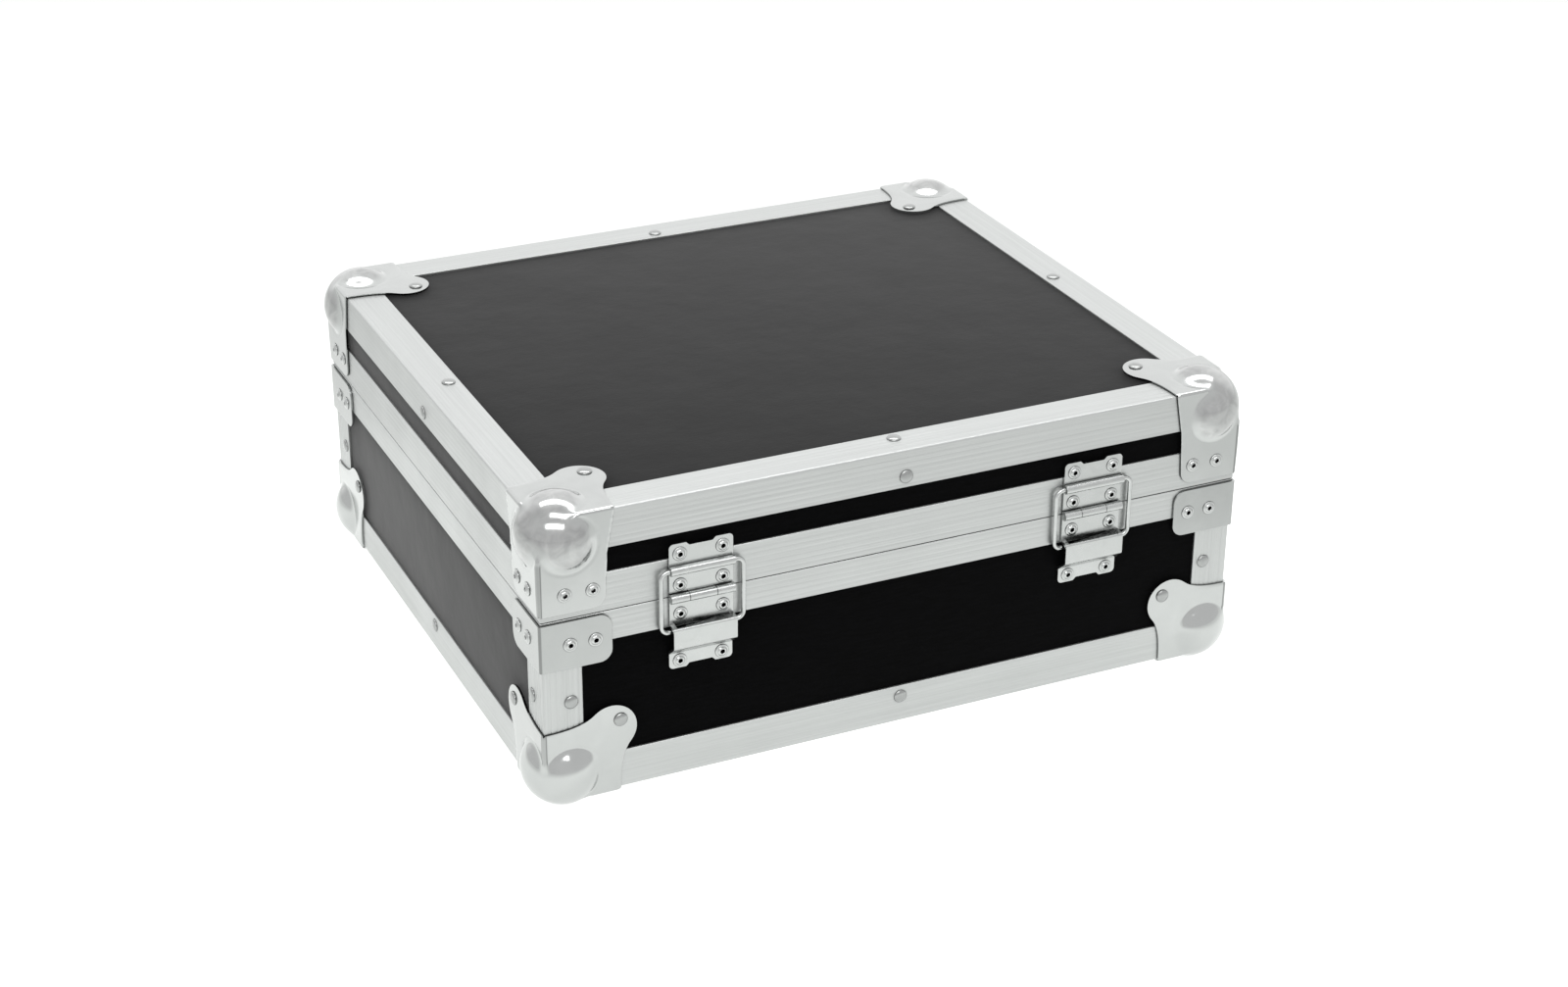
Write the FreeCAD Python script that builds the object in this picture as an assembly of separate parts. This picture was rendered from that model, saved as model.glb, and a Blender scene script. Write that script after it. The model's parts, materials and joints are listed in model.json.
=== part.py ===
import FreeCAD
import Part
import math
import os

from FreeCAD import Placement, Rotation, Vector

# Foam-lined flight case, closed. Millimetres, +Z up, -Y is the front with latches and handle,
# +Y is the hinge side. Heights below are above the underside of the bottom edge angles.

# Case body
case_width = 414.0
case_depth = 362.0
case_height = 165.0
parting_share = 0.6490909
parting_gap = 0.4
panel_thickness = 7.0

# Aluminium edge angles and corner posts
edge_leg = 22.0
edge_wall = 1.5
edge_round = 2.0
edge_rivet_inset = 15.5
edge_setback = 26.0
post_rivet_share = 0.5415500
post_gap = 0.3

# Closing profiles along the parting line
base_rim_height = 17.2
lid_rim_height = 22.0
rim_web = 1.6
rim_inner_drop = 11.0
groove_inset = 3.8
groove_width = 3.6
groove_depth = 2.8
tongue_clearance = 0.5
tongue_end_clearance = 0.5
tongue_taper = 0.4

# Pressed steel ball corners
corner_plate = 1.5
corner_fold_round = 2.0
corner_fold_start = 25.0
ear_edge = 43.0
ear_neck = 20.5
ear_flare = 1.5
ear_center = 38.5
ear_radius = 14.1
ear_turn = 40.0
ear_rivet = 43.5
base_ball_radius = 22.0
base_ball_inset = 15.5
lid_ball_radius = 21.0
lid_ball_inset = 16.7
foot_flat = 0.5
lid_leg_width = 37.0
lid_leg_round = 7.0
lid_leg_clearance = 4.0
lid_leg_rivet_height = 14.6
lid_leg_rivets = (14.6, 29.9)

# Corner braces on the base rim
brace_length = 40.0
brace_drop = 27.5
brace_gap = 0.8
brace_round = 7.0
brace_rivet_drop = 14.3
brace_rivets = (16.9, 30.8)

# Blind rivets
rivet_head_radius = 3.9
rivet_head_height = 1.4
rivet_shoulder_share = 0.72
rivet_shank_radius = 2.0
rivet_mandrel_radius = 1.0
rivet_hole_clearance = 0.05

# Hinges with a stay wire
hinge_offset_share = 0.2814010
hinge_shift = 2.1
hinge_width = 36.0
hinge_leaf = 1.5
hinge_knuckle_radius = 2.6
hinge_knuckle_share = 0.42
hinge_pin_radius = 1.3
hinge_standoff = 0.2
hinge_gap = 0.3
running_clearance = 0.05
hinge_lid_reach = 30.9
hinge_corner_round = 2.5
hinge_notch_width = 13.0
hinge_notch_depth = 1.8
hinge_rivet_spread = 12.0
hinge_flange_rivet = 25.0
hinge_leaf_rivet = 7.2
hinge_base_leaf_rivet = 9.6
hinge_base_leaf_reach = 15.2
bridge_sheet = 1.1
bridge_slope = 38.0
bridge_window = 31.0
flange_length = 9.8
flange_rivet_inset = 4.6
lid_open_angle = 90
stay_wire_radius = 1.3
stay_bead_radius = 2.6
stay_bead_height = 16.2
stay_length = 35.2
stay_half_width = 23.2
stay_bend = 4.0
stay_turn_share = 0.36
stay_clearance = 0.3

# Foam lining
foam_clearance = 0.3
foam_pad_thickness = 25.0
foam_wall_thickness = 10.0
lid_foam_thickness = 25.0

# Twist latches on the front
latch_offset_share = 0.2814010
latch_width = 38.0
latch_plate = 1.5
latch_plate_gap = 1.5
latch_plate_drop = 38.0
latch_plate_round = 3.0
latch_rivet_spread = 14.0
latch_rivet_inset = 5.0
latch_axis_drop = 20.0
latch_spindle_radius = 3.8
latch_boss_radius = 6.5
latch_layer_gap = 0.3
hook_thickness = 2.5
hook_hub_radius = 9.0
hook_jaw_width = 5.0
hook_jaw_angles = (-30.0, 18.0)
hook_root_angles = (-34.0, -15.0)
hook_clearance = 1.5
rotor_radius = 12.0
rotor_thickness = 3.0
rotor_lug_width = 3.0
rotor_lug_spread = 8.0
rotor_lug_rise = 8.0
wing_thickness = 2.5
wing_pin_radius = 1.4
wing_drop = 26.0
wing_width = 27.0
wing_round = 8.0
wing_shoulder = 5.0
keeper_width = 36.0
keeper_height = 18.5
keeper_gap = 1.5
keeper_round = 3.0
keeper_rivet_spread = 12.0
keeper_rivet_inset = 5.0
stud_radius = 3.0
stud_height = 6.0
stud_head_radius = 5.0
stud_head = 1.5

# Carrying handle on the front
handle_drop = 30.0
handle_standoff = 8.0
handle_latch_gap = 5.9
handle_leg = 14.0
handle_length = 34.0
handle_bar = 18.0
handle_thickness = 14.0
handle_outer_round = 20.0
handle_inner_round = 9.0
handle_edge_round = 4.0
handle_pin_radius = 2.5
handle_side_gap = 0.6
bracket_barrel_radius = 5.0
bracket_barrel_length = 13.0
bracket_plate = 2.0
bracket_height = 24.0
bracket_wing = 14.0
bracket_round = 3.0
bracket_rivet_spread = 7.5

# Derived levels, measured outwards from the outer face of the aluminium or up from the parting line
parting_height = case_height * parting_share
post_rivet_height = parting_height * post_rivet_share
hinge_offset = case_width * hinge_offset_share
hinge_left = hinge_offset - hinge_shift
hinge_right = -hinge_offset - hinge_shift
latch_offset = case_width * latch_offset_share
bracket_reach = handle_side_gap + bracket_barrel_length + bracket_wing
handle_half_width = latch_offset - latch_width / 2 - handle_latch_gap - bracket_reach
base_rim_top = parting_height - parting_gap / 2
lid_rim_bottom = parting_height + parting_gap / 2
rim_depth = 2 * edge_wall + panel_thickness
panel_outer_x = case_width / 2 - edge_wall
panel_outer_y = case_depth / 2 - edge_wall
panel_inner_x = panel_outer_x - panel_thickness
panel_inner_y = panel_outer_y - panel_thickness
floor_top = edge_wall + panel_thickness
ceiling_bottom = case_height - floor_top
base_panel_top = base_rim_top - rim_web - groove_depth
lid_panel_bottom = lid_rim_bottom + rim_web
through_plate = corner_plate + edge_wall + panel_thickness
hinge_axis_out = hinge_knuckle_radius + hinge_standoff
foot_drop = corner_plate + base_ball_radius - base_ball_inset - foot_flat
ball_reach = corner_plate + base_ball_radius - base_ball_inset
front_reach = handle_standoff + handle_thickness / 2
body_shift = (front_reach - ball_reach) / 2

sides = ("front", "right", "back", "left")
corners = ("front_left", "front_right", "back_right", "back_left")
side_turn = {side: 360 * i / len(sides) for i, side in enumerate(sides)}
corner_turn = {corner: 360 * i / len(corners) for i, corner in enumerate(corners)}
up = Vector(0, 0, 1)
along = Vector(1, 0, 0)
inward = Vector(0, 1, 0)
outward = Vector(0, -1, 0)
down = Vector(0, 0, -1)
tolerance = 1e-6
half_root = math.sqrt(0.5)


def box(x0, x1, y0, y1, z0, z1):
    return Part.makeBox(x1 - x0, y1 - y0, z1 - z0, Vector(x0, y0, z0))


def cylinder(radius, start, end):
    run = end - start
    return Part.makeCylinder(radius, run.Length, start, run)


def prism(points, travel):
    face = Part.Face(Part.makePolygon(points + points[:1]))
    return face.extrude(travel)


def fused(shapes):
    return shapes[0].multiFuse(shapes[1:]).removeSplitter()


def rounded(solid, radius, chosen):
    edges = [edge for edge in solid.Edges if chosen(edge)]
    return solid.makeFillet(radius, edges)


def is_along(edge, direction):
    if not isinstance(edge.Curve, Part.Line):
        return False
    return edge.Curve.Direction.cross(direction).Length < tolerance


def touches(edge, level):
    return abs(edge.BoundBox.ZMin - level) < tolerance


def side_reach(side):
    return case_depth / 2 if side in ("front", "back") else case_width / 2


def side_span(side):
    return case_width if side in ("front", "back") else case_depth


# A side's own frame: x runs along the side, y points into the case from the outer face, z is height.
def on_side(shape, side):
    placed = shape.copy()
    placed.translate(Vector(0, -side_reach(side), 0))
    placed.rotate(Vector(), up, side_turn[side])
    return placed


# A corner's own frame: the origin is the outer vertex of its plates and the case lies towards +x, +y, +z.
def on_corner(shape, corner, standing_on):
    turn = Rotation(up, corner_turn[corner])
    lean = turn.multVec(Vector(1, 1, 0))
    x = -math.copysign(case_width / 2 + corner_plate, lean.x)
    y = -math.copysign(case_depth / 2 + corner_plate, lean.y)
    placed = shape.copy()
    placed.Placement = Placement(Vector(x, y, standing_on), turn).multiply(shape.Placement)
    return placed


# Turns a corner built for the bottom upside down, so that it serves the top.
def upside_down(shape):
    turned = shape.copy()
    turned.rotate(Vector(), along, 180)
    turned.rotate(Vector(), up, 90)
    return turned


def mirrored(shape):
    return shape.mirror(Vector(), along)


# A rivet is a place, an outward direction, a depth through the stack and whether its mandrel hole shows.
def rivet(place, direction, depth, hollow):
    share = rivet_shoulder_share
    crown = Vector(0, 0, rivet_head_height)
    shoulder = Vector(rivet_head_radius * share, 0, rivet_head_height * share)
    rim = Vector(rivet_head_radius, 0, 0)
    neck = Vector(rivet_shank_radius, 0, 0)
    foot = Vector(rivet_shank_radius, 0, -depth)
    end = Vector(0, 0, -depth)
    dome = Part.Arc(crown, shoulder, rim).toShape()
    outline = Part.Wire([dome] + Part.makePolygon([rim, neck, foot, end, crown]).Edges)
    solid = Part.Face(outline).revolve(Vector(), up, 360)
    if hollow:
        solid = solid.cut(cylinder(rivet_mandrel_radius, Vector(), Vector(0, 0, 2 * rivet_head_height)))
    solid.Placement = Placement(place, Rotation(up, direction))
    return solid


def rivet_hole(place, direction, depth):
    top = place + direction * rivet_head_height
    bottom = place - direction * (depth + rivet_hole_clearance)
    return cylinder(rivet_shank_radius + rivet_hole_clearance, bottom, top)


def side_place(side, x, out, z):
    turn = Rotation(up, side_turn[side])
    return turn.multVec(Vector(x, -side_reach(side) - out, z))


def side_outward(side):
    return Rotation(up, side_turn[side]).multVec(outward)


def drilled(shape, rivets):
    holes = [rivet_hole(place, direction, depth) for place, direction, depth, hollow in rivets]
    holes = [hole for hole in holes if hole.BoundBox.intersect(shape.BoundBox)]
    return shape.cut(holes) if holes else shape


# Panels
def wall_panels(bottom, top):
    wide = box(-panel_outer_x, panel_outer_x, edge_wall, edge_wall + panel_thickness, bottom, top)
    narrow = box(-panel_inner_y, panel_inner_y, edge_wall, edge_wall + panel_thickness, bottom, top)
    return {side: on_side(wide if side in ("front", "back") else narrow, side) for side in side_turn}


def flat_panel(bottom):
    top = bottom + panel_thickness
    return box(-panel_outer_x, panel_outer_x, -panel_outer_y, panel_outer_y, bottom, top)


# Edge angles and posts
def edge_angle(length):
    legs = [
        Vector(-length / 2, 0, 0),
        Vector(-length / 2, edge_leg, 0),
        Vector(-length / 2, edge_leg, edge_wall),
        Vector(-length / 2, edge_wall, edge_wall),
        Vector(-length / 2, edge_wall, edge_leg),
        Vector(-length / 2, 0, edge_leg),
    ]
    angle = prism(legs, Vector(length, 0, 0))
    return rounded(angle, edge_round,
                   lambda e: is_along(e, along) and e.BoundBox.YMax + e.BoundBox.ZMax < tolerance)


def bottom_edge(side):
    return on_side(edge_angle(side_span(side) - 2 * edge_setback), side)


def top_edge(side):
    angle = edge_angle(side_span(side) - 2 * edge_setback)
    angle.rotate(Vector(), along, -90)
    angle.translate(Vector(0, 0, case_height))
    return on_side(angle, side)


def corner_post(corner):
    height = base_rim_top - base_rim_height - post_gap - edge_setback
    outline = [
        Vector(0, 0, 0),
        Vector(edge_leg, 0, 0),
        Vector(edge_leg, edge_wall, 0),
        Vector(edge_wall, edge_wall, 0),
        Vector(edge_wall, edge_leg, 0),
        Vector(0, edge_leg, 0),
    ]
    post = prism(outline, up * height)
    post = rounded(post, edge_round,
                   lambda e: is_along(e, up) and e.BoundBox.XMax + e.BoundBox.YMax < tolerance)
    post.translate(Vector(corner_plate, corner_plate, 0))
    return on_corner(post, corner, edge_setback)


# Closing profiles, mitred at the corners
def rim(side, outline):
    span = side_span(side)
    bar = prism([Vector(-span / 2, y, z) for y, z in outline], Vector(span, 0, 0))
    sector = [
        Vector(-span / 2, 0, 0),
        Vector(span / 2, 0, 0),
        Vector(span / 2 - rim_depth, rim_depth, 0),
        Vector(rim_depth - span / 2, rim_depth, 0),
    ]
    return on_side(bar.common(prism(sector, up * case_height)), side)


def base_rim(side):
    top = base_rim_top
    inner = rim_depth - edge_wall
    groove_end = groove_inset + groove_width
    return rim(side, [
        (0, top - base_rim_height),
        (edge_wall, top - base_rim_height),
        (edge_wall, base_panel_top),
        (inner, base_panel_top),
        (inner, top - rim_inner_drop),
        (rim_depth, top - rim_inner_drop),
        (rim_depth, top),
        (groove_end, top),
        (groove_end, top - groove_depth),
        (groove_inset, top - groove_depth),
        (groove_inset, top),
        (0, top),
    ])


def lid_rim(side):
    bottom = lid_rim_bottom
    inner = rim_depth - edge_wall
    tongue_start = groove_inset + tongue_clearance
    tongue_end = groove_inset + groove_width - tongue_clearance
    tip = base_rim_top - groove_depth + tongue_end_clearance
    return rim(side, [
        (0, bottom),
        (tongue_start, bottom),
        (tongue_start + tongue_taper, tip),
        (tongue_end - tongue_taper, tip),
        (tongue_end, bottom),
        (rim_depth, bottom),
        (rim_depth, bottom + rim_inner_drop),
        (inner, bottom + rim_inner_drop),
        (inner, lid_panel_bottom),
        (edge_wall, lid_panel_bottom),
        (edge_wall, bottom + lid_rim_height),
        (0, bottom + lid_rim_height),
    ])


# Ball corners: three plates meeting at rounded folds that run into a ball
def is_fold(edge):
    ends = (edge.BoundBox.XMax, edge.BoundBox.YMax, edge.BoundBox.ZMax)
    return sum(abs(end) < tolerance for end in ends) == 2


def corner_envelope(ball_radius, ball_inset, inside, size):
    block = box(inside, size, inside, size, inside, size)
    if inside == 0:
        block = rounded(block, corner_fold_round, is_fold)
    start = corner_fold_start
    blunt = box(-start, start, -start, start, -start, start)
    blunt = blunt.cut(Part.makeSphere(start / half_root - inside, Vector(start, start, start)))
    ball = Part.makeSphere(ball_radius - inside, Vector(ball_inset, ball_inset, ball_inset))
    return block.cut(blunt).fuse(ball)


def corner_room(ball_radius, ball_inset):
    start = corner_fold_start
    core = corner_envelope(ball_radius, ball_inset, corner_plate, 2 * start)
    return box(-start, start, -start, start, -start, start).cut(core)


def ear_outline(reach):
    turn = math.radians(ear_turn)
    tip = ear_center + ear_radius * half_root
    near = Vector(ear_center + ear_radius * math.cos(turn), ear_center - ear_radius * math.sin(turn), 0)
    far = Vector(near.y, near.x, 0)
    lobe = Part.Arc(near, Vector(tip, tip, 0), far).toShape()
    side = [
        far,
        Vector(ear_neck, ear_edge + ear_flare, 0),
        Vector(0, ear_edge, 0),
        Vector(-reach, ear_edge, 0),
        Vector(-reach, -reach, 0),
        Vector(ear_edge, -reach, 0),
        Vector(ear_edge, 0, 0),
        Vector(ear_edge + ear_flare, ear_neck, 0),
        near,
    ]
    return Part.Wire([lobe] + Part.makePolygon(side).Edges)


def leg_outline(reach, drop):
    end = Vector(lid_leg_width, drop - lid_leg_round, 0)
    bend = Vector(lid_leg_width - lid_leg_round, drop, 0)
    cut = lid_leg_round * (1 - half_root)
    middle = Vector(lid_leg_width - cut, drop - cut, 0)
    toe = Part.Arc(end, middle, bend).toShape()
    side = [
        bend,
        Vector(-reach, drop, 0),
        Vector(-reach, -reach, 0),
        Vector(ear_edge, -reach, 0),
        Vector(ear_edge, 0, 0),
        Vector(lid_leg_width + ear_flare, corner_fold_start, 0),
        end,
    ]
    return Part.Wire([toe] + Part.makePolygon(side).Edges)


# The three keep shapes are one outline per face, swept through the plate and out past the ball.
def corner_shell(ball_radius, ball_inset, floor_outline, wall_outline, reach):
    size = 2 * (ear_center + ear_radius)
    shell = corner_envelope(ball_radius, ball_inset, 0, size)
    shell = shell.cut(corner_envelope(ball_radius, ball_inset, corner_plate, 2 * size))
    thick = up * (reach + corner_plate)
    floor = Part.Face(floor_outline).extrude(thick)
    floor.translate(up * -reach)
    wall = Part.Face(wall_outline).extrude(thick)
    wall.translate(up * -reach)
    front = wall.copy()
    front.rotate(Vector(), along, 90)
    front = front.mirror(Vector(), inward)
    flank = front.mirror(Vector(), Vector(1, -1, 0))
    heart = box(-reach, corner_fold_start, -reach, corner_fold_start, -reach, corner_fold_start)
    return shell.common(fused([floor, front, flank, heart]))


def base_ball_corner():
    reach = base_ball_radius
    shell = corner_shell(base_ball_radius, base_ball_inset, ear_outline(reach), ear_outline(reach), reach)
    low = base_ball_inset - base_ball_radius
    return shell.cut(box(-reach, 2 * reach, -reach, 2 * reach, low - reach, low + foot_flat))


def lid_ball_corner():
    reach = lid_ball_radius
    drop = case_height + corner_plate - parting_height - lid_leg_clearance
    legs = leg_outline(reach, drop)
    shell = corner_shell(lid_ball_radius, lid_ball_inset, ear_outline(reach), legs, reach)
    return upside_down(shell)


def corner_brace(corner):
    top = base_rim_top - brace_gap
    low = top - brace_drop
    leg = box(0, brace_length, 0, corner_plate, low, top)
    leg = rounded(leg, brace_round, lambda e: is_along(e, inward) and e.BoundBox.XMin > brace_length / 2)
    other = leg.mirror(Vector(), Vector(1, -1, 0))
    brace = fused([leg, other])
    brace = rounded(brace, corner_fold_round,
                    lambda e: is_along(e, up) and e.BoundBox.XMax + e.BoundBox.YMax < tolerance)
    return on_corner(brace, corner, 0)


# Hinges. In a hinge's own frame x is along the case, y points into it, z is measured from the parting line.
def stay_path():
    points = []
    for degrees in range(lid_open_angle + 1):
        lid = math.radians(degrees)
        wire = stay_turn_share * lid
        out = hinge_axis_out + stay_bead_height * math.sin(lid) - stay_length * math.sin(wire)
        points.append((out, stay_bead_height * math.cos(lid) - stay_length * math.cos(wire)))
    return points


def hinge_rivets_lid():
    levels = (hinge_flange_rivet, hinge_leaf_rivet)
    return [(x, z) for x in (-hinge_rivet_spread, hinge_rivet_spread) for z in levels]


def bridge_levels():
    path = stay_path()
    room = stay_wire_radius + stay_clearance
    inside = max(out for out, z in path) + room
    slope = math.radians(bridge_slope)
    offset = min(z * math.cos(slope) - out * math.sin(slope) for out, z in path) - room
    crest = (offset + inside * math.sin(slope)) / math.cos(slope)
    foot = (offset - edge_wall * math.sin(slope)) / math.cos(slope)
    return inside, crest, foot


def hinge_bar(outline):
    points = [Vector(-hinge_width / 2, -out, z) for out, z in outline]
    return prism(points, Vector(hinge_width, 0, 0))


def hinge_barrel(x0, x1):
    return cylinder(hinge_knuckle_radius, Vector(x0, -hinge_axis_out, 0), Vector(x1, -hinge_axis_out, 0))


def hinge_bore(solid):
    end = Vector(hinge_width, -hinge_axis_out, 0)
    start = Vector(-hinge_width, -hinge_axis_out, 0)
    return solid.cut(cylinder(hinge_pin_radius + running_clearance, start, end))


# A shallow notch with sloping ends between the two rivets of a flange.
def flange_notch(level, depth):
    half = hinge_notch_width / 2
    slant = abs(depth)
    points = [
        Vector(-half, -case_depth, level + depth),
        Vector(half, -case_depth, level + depth),
        Vector(half + slant, -case_depth, level),
        Vector(-half - slant, -case_depth, level),
    ]
    return prism(points, Vector(0, 2 * case_depth, 0))


def hinge_lid_plate():
    half = hinge_width / 2
    middle = hinge_width * hinge_knuckle_share / 2
    clear = hinge_knuckle_radius + hinge_gap
    leaf = box(-half, half, -hinge_leaf, 0, clear, hinge_lid_reach)
    leaf = rounded(leaf, hinge_corner_round, lambda e: is_along(e, inward) and touches(e, hinge_lid_reach))
    leaf = leaf.cut(flange_notch(hinge_lid_reach, -hinge_notch_depth))
    tab = box(-middle, middle, -hinge_leaf, 0, parting_gap / 2, clear)
    bead_start = Vector(-half, -hinge_axis_out, stay_bead_height)
    bead_end = Vector(half, -hinge_axis_out, stay_bead_height)
    bead = cylinder(stay_bead_radius, bead_start, bead_end)
    web = box(-half, half, -hinge_axis_out, 0, stay_bead_height - stay_bead_radius / 2,
              stay_bead_height + stay_bead_radius / 2)
    plate = fused([leaf, tab, hinge_barrel(-middle, middle), bead, web])
    return hinge_bore(plate).cut(cylinder(stay_wire_radius + running_clearance, bead_start, bead_end))


def hinge_base_plate():
    half = hinge_width / 2
    middle = hinge_width * hinge_knuckle_share / 2 + hinge_gap
    inside, crest, foot = bridge_levels()
    outside = inside + bridge_sheet
    thick = bridge_sheet / math.cos(math.radians(bridge_slope))
    low = foot - flange_length
    riser = hinge_base_leaf_reach + hinge_leaf
    sheet = hinge_bar([
        (0, -parting_gap / 2),
        (hinge_leaf, -parting_gap / 2),
        (hinge_leaf, -hinge_base_leaf_reach),
        (outside, -hinge_base_leaf_reach - hinge_leaf / 2),
        (outside, crest - thick / 2),
        (0, foot - thick / 2),
        (0, low),
        (-edge_wall, low),
        (-edge_wall, foot),
        (inside, crest),
        (inside, -riser - hinge_leaf / 2),
        (0, -riser),
    ])
    sheet = rounded(sheet, hinge_corner_round, lambda e: is_along(e, inward) and touches(e, low))
    sheet = sheet.cut(flange_notch(low, hinge_notch_depth))
    relief = box(-middle, middle, -outside, 0, -hinge_knuckle_radius - hinge_gap, hinge_knuckle_radius)
    ends = [hinge_barrel(-half, -middle), hinge_barrel(middle, half)]
    plate = fused([sheet.cut(relief)] + ends)
    window = box(-bridge_window / 2, bridge_window / 2, -inside, -hinge_leaf, -riser - hinge_leaf,
                 -hinge_base_leaf_reach)
    return hinge_bore(plate.cut(window))


def hinge_rivets_base():
    inside, crest, foot = bridge_levels()
    flange = foot - flange_length + flange_rivet_inset
    spread = (-hinge_rivet_spread, hinge_rivet_spread)
    return [(x, hinge_leaf, -hinge_base_leaf_rivet) for x in spread] + [(x, 0, flange) for x in spread]


def hinge_pin():
    start = Vector(-hinge_width / 2, -hinge_axis_out, 0)
    return cylinder(hinge_pin_radius, start, Vector(hinge_width / 2, -hinge_axis_out, 0))


def stay_wire():
    top = stay_bead_height
    low = stay_bead_height - stay_length
    reach = stay_half_width - stay_bend
    pieces = []
    for x in (-stay_half_width, stay_half_width):
        foot = Vector(x, 0, low + stay_bend)
        pieces.append(cylinder(stay_wire_radius, foot, Vector(x, 0, top - stay_bend)))
    for z in (low, top):
        pieces.append(cylinder(stay_wire_radius, Vector(-reach, 0, z), Vector(reach, 0, z)))
    bends = ((reach, top - stay_bend, 0), (-reach, top - stay_bend, 90),
             (-reach, low + stay_bend, 180), (reach, low + stay_bend, 270))
    for x, z, turn in bends:
        bend = Part.makeTorus(stay_bend, stay_wire_radius, Vector(), up, -180, 180, 90)
        bend.rotate(Vector(), up, turn)
        bend.rotate(Vector(), along, 90)
        bend.translate(Vector(x, 0, z))
        pieces.append(bend)
    wire = fused(pieces)
    wire.translate(Vector(0, -hinge_axis_out, 0))
    return wire


def on_hinge(shape, x):
    placed = shape.copy()
    placed.translate(Vector(x, 0, parting_height))
    return on_side(placed, "back")


# Twist latches. In a latch's own frame x is along the case, y points into it and z is measured
# from the parting line; the hook swings from the side up over the keeper's stud.
rivet_top = latch_plate + rivet_head_height
hook_out = rivet_top + latch_layer_gap
rotor_out = hook_out + hook_thickness
wing_out = rotor_out + rotor_thickness + latch_layer_gap
stud_reach = latch_axis_drop + stud_height
jaw_inner = stud_reach + stud_radius + hook_clearance
jaw_outer = jaw_inner + hook_jaw_width
wing_axis_out = wing_out + wing_thickness / 2


def disc(radius, out, thickness):
    start = Vector(0, -out, -latch_axis_drop)
    return cylinder(radius, start, start + outward * thickness)


# A slice of a disc about the latch's spindle, its angles measured from +x towards up.
def disc_slice(radius, angles):
    start, end = angles
    solid = Part.makeCylinder(radius, hook_thickness, Vector(), up, end - start)
    solid.rotate(Vector(), up, start)
    solid.rotate(Vector(), along, 90)
    solid.translate(Vector(0, -hook_out, -latch_axis_drop))
    return solid


def latch_hook():
    jaw = disc_slice(jaw_outer, hook_jaw_angles).cut(disc(jaw_inner, 0, 2 * wing_out))
    root = disc_slice(jaw_outer, hook_root_angles)
    hook = fused([disc(hook_hub_radius, hook_out, hook_thickness), jaw, root])
    return hook.cut(disc(latch_spindle_radius + running_clearance, 0, 2 * wing_out))


def latch_base():
    half = latch_width / 2
    step = base_rim_top - base_rim_height - parting_height
    outline = [
        (0, -latch_plate_gap),
        (latch_plate, -latch_plate_gap),
        (latch_plate, -latch_plate_drop),
        (-edge_wall, -latch_plate_drop),
        (-edge_wall, step - parting_gap),
        (0, step - parting_gap),
    ]
    plate = prism([Vector(-half, -out, z) for out, z in outline], Vector(latch_width, 0, 0))
    ends = (-latch_plate_gap, -latch_plate_drop)
    plate = rounded(plate, latch_plate_round,
                    lambda e: is_along(e, inward) and any(touches(e, end) for end in ends))
    boss = disc(latch_boss_radius, 0, hook_out - latch_layer_gap / 2)
    plate = fused([plate, boss])
    bore = disc(latch_spindle_radius + running_clearance, -edge_wall, 2 * wing_out)
    return plate.cut(bore)


def latch_base_rivets():
    levels = (-latch_plate_gap - latch_rivet_inset, -latch_plate_drop + latch_rivet_inset)
    return [(x, z) for x in (-latch_rivet_spread, latch_rivet_spread) for z in levels]


def latch_rotor():
    plate = disc(rotor_radius, rotor_out, rotor_thickness)
    spindle = disc(latch_spindle_radius, latch_layer_gap, rotor_out - latch_layer_gap)
    axis_z = rotor_lug_rise - latch_axis_drop
    lugs = []
    for x in (-rotor_lug_spread, rotor_lug_spread):
        foot = box(x - rotor_lug_width / 2, x + rotor_lug_width / 2, -wing_axis_out, -rotor_out,
                   axis_z - rotor_lug_width / 2, axis_z + rotor_lug_width / 2)
        eye = cylinder(rotor_lug_width / 2 + wing_pin_radius / 2,
                       Vector(x - rotor_lug_width / 2, -wing_axis_out, axis_z),
                       Vector(x + rotor_lug_width / 2, -wing_axis_out, axis_z))
        lugs.extend([foot, eye])
    rotor = fused([plate, spindle] + lugs)
    return rotor.cut(wing_pin(wing_pin_radius + running_clearance))


def wing_pin(radius):
    reach = rotor_lug_spread + rotor_lug_width / 2
    axis_z = rotor_lug_rise - latch_axis_drop
    return cylinder(radius, Vector(-reach, -wing_axis_out, axis_z), Vector(reach, -wing_axis_out, axis_z))


def latch_wing():
    axis_z = rotor_lug_rise - latch_axis_drop
    neck = rotor_lug_spread - rotor_lug_width / 2 - latch_layer_gap
    low = axis_z - wing_drop
    half = wing_width / 2
    top = axis_z - wing_shoulder
    blade = box(-half, half, -wing_out - wing_thickness, -wing_out, low, top)
    blade = rounded(blade, wing_round, lambda e: is_along(e, inward) and touches(e, low))
    stem = box(-neck, neck, -wing_out - wing_thickness, -wing_out, top, axis_z)
    return fused([blade, stem, wing_pin(wing_pin_radius)])


def latch_keeper():
    half = keeper_width / 2
    plate = box(-half, half, -latch_plate, 0, keeper_gap, keeper_gap + keeper_height)
    plate = rounded(plate, keeper_round, lambda e: is_along(e, inward))
    neck = hook_out + hook_thickness + latch_layer_gap
    tip = Vector(0, -neck, stud_height)
    stud = cylinder(stud_radius, Vector(0, 0, stud_height), tip)
    head = cylinder(stud_head_radius, tip, tip + outward * stud_head)
    return fused([plate, stud, head])


def keeper_rivets():
    level = keeper_gap + keeper_height - keeper_rivet_inset
    return [(x, level) for x in (-keeper_rivet_spread, keeper_rivet_spread)]


def on_latch(shape, x):
    placed = shape.copy() if x > 0 else mirrored(shape)
    placed.translate(Vector(x, 0, parting_height))
    return on_side(placed, "front")


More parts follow.
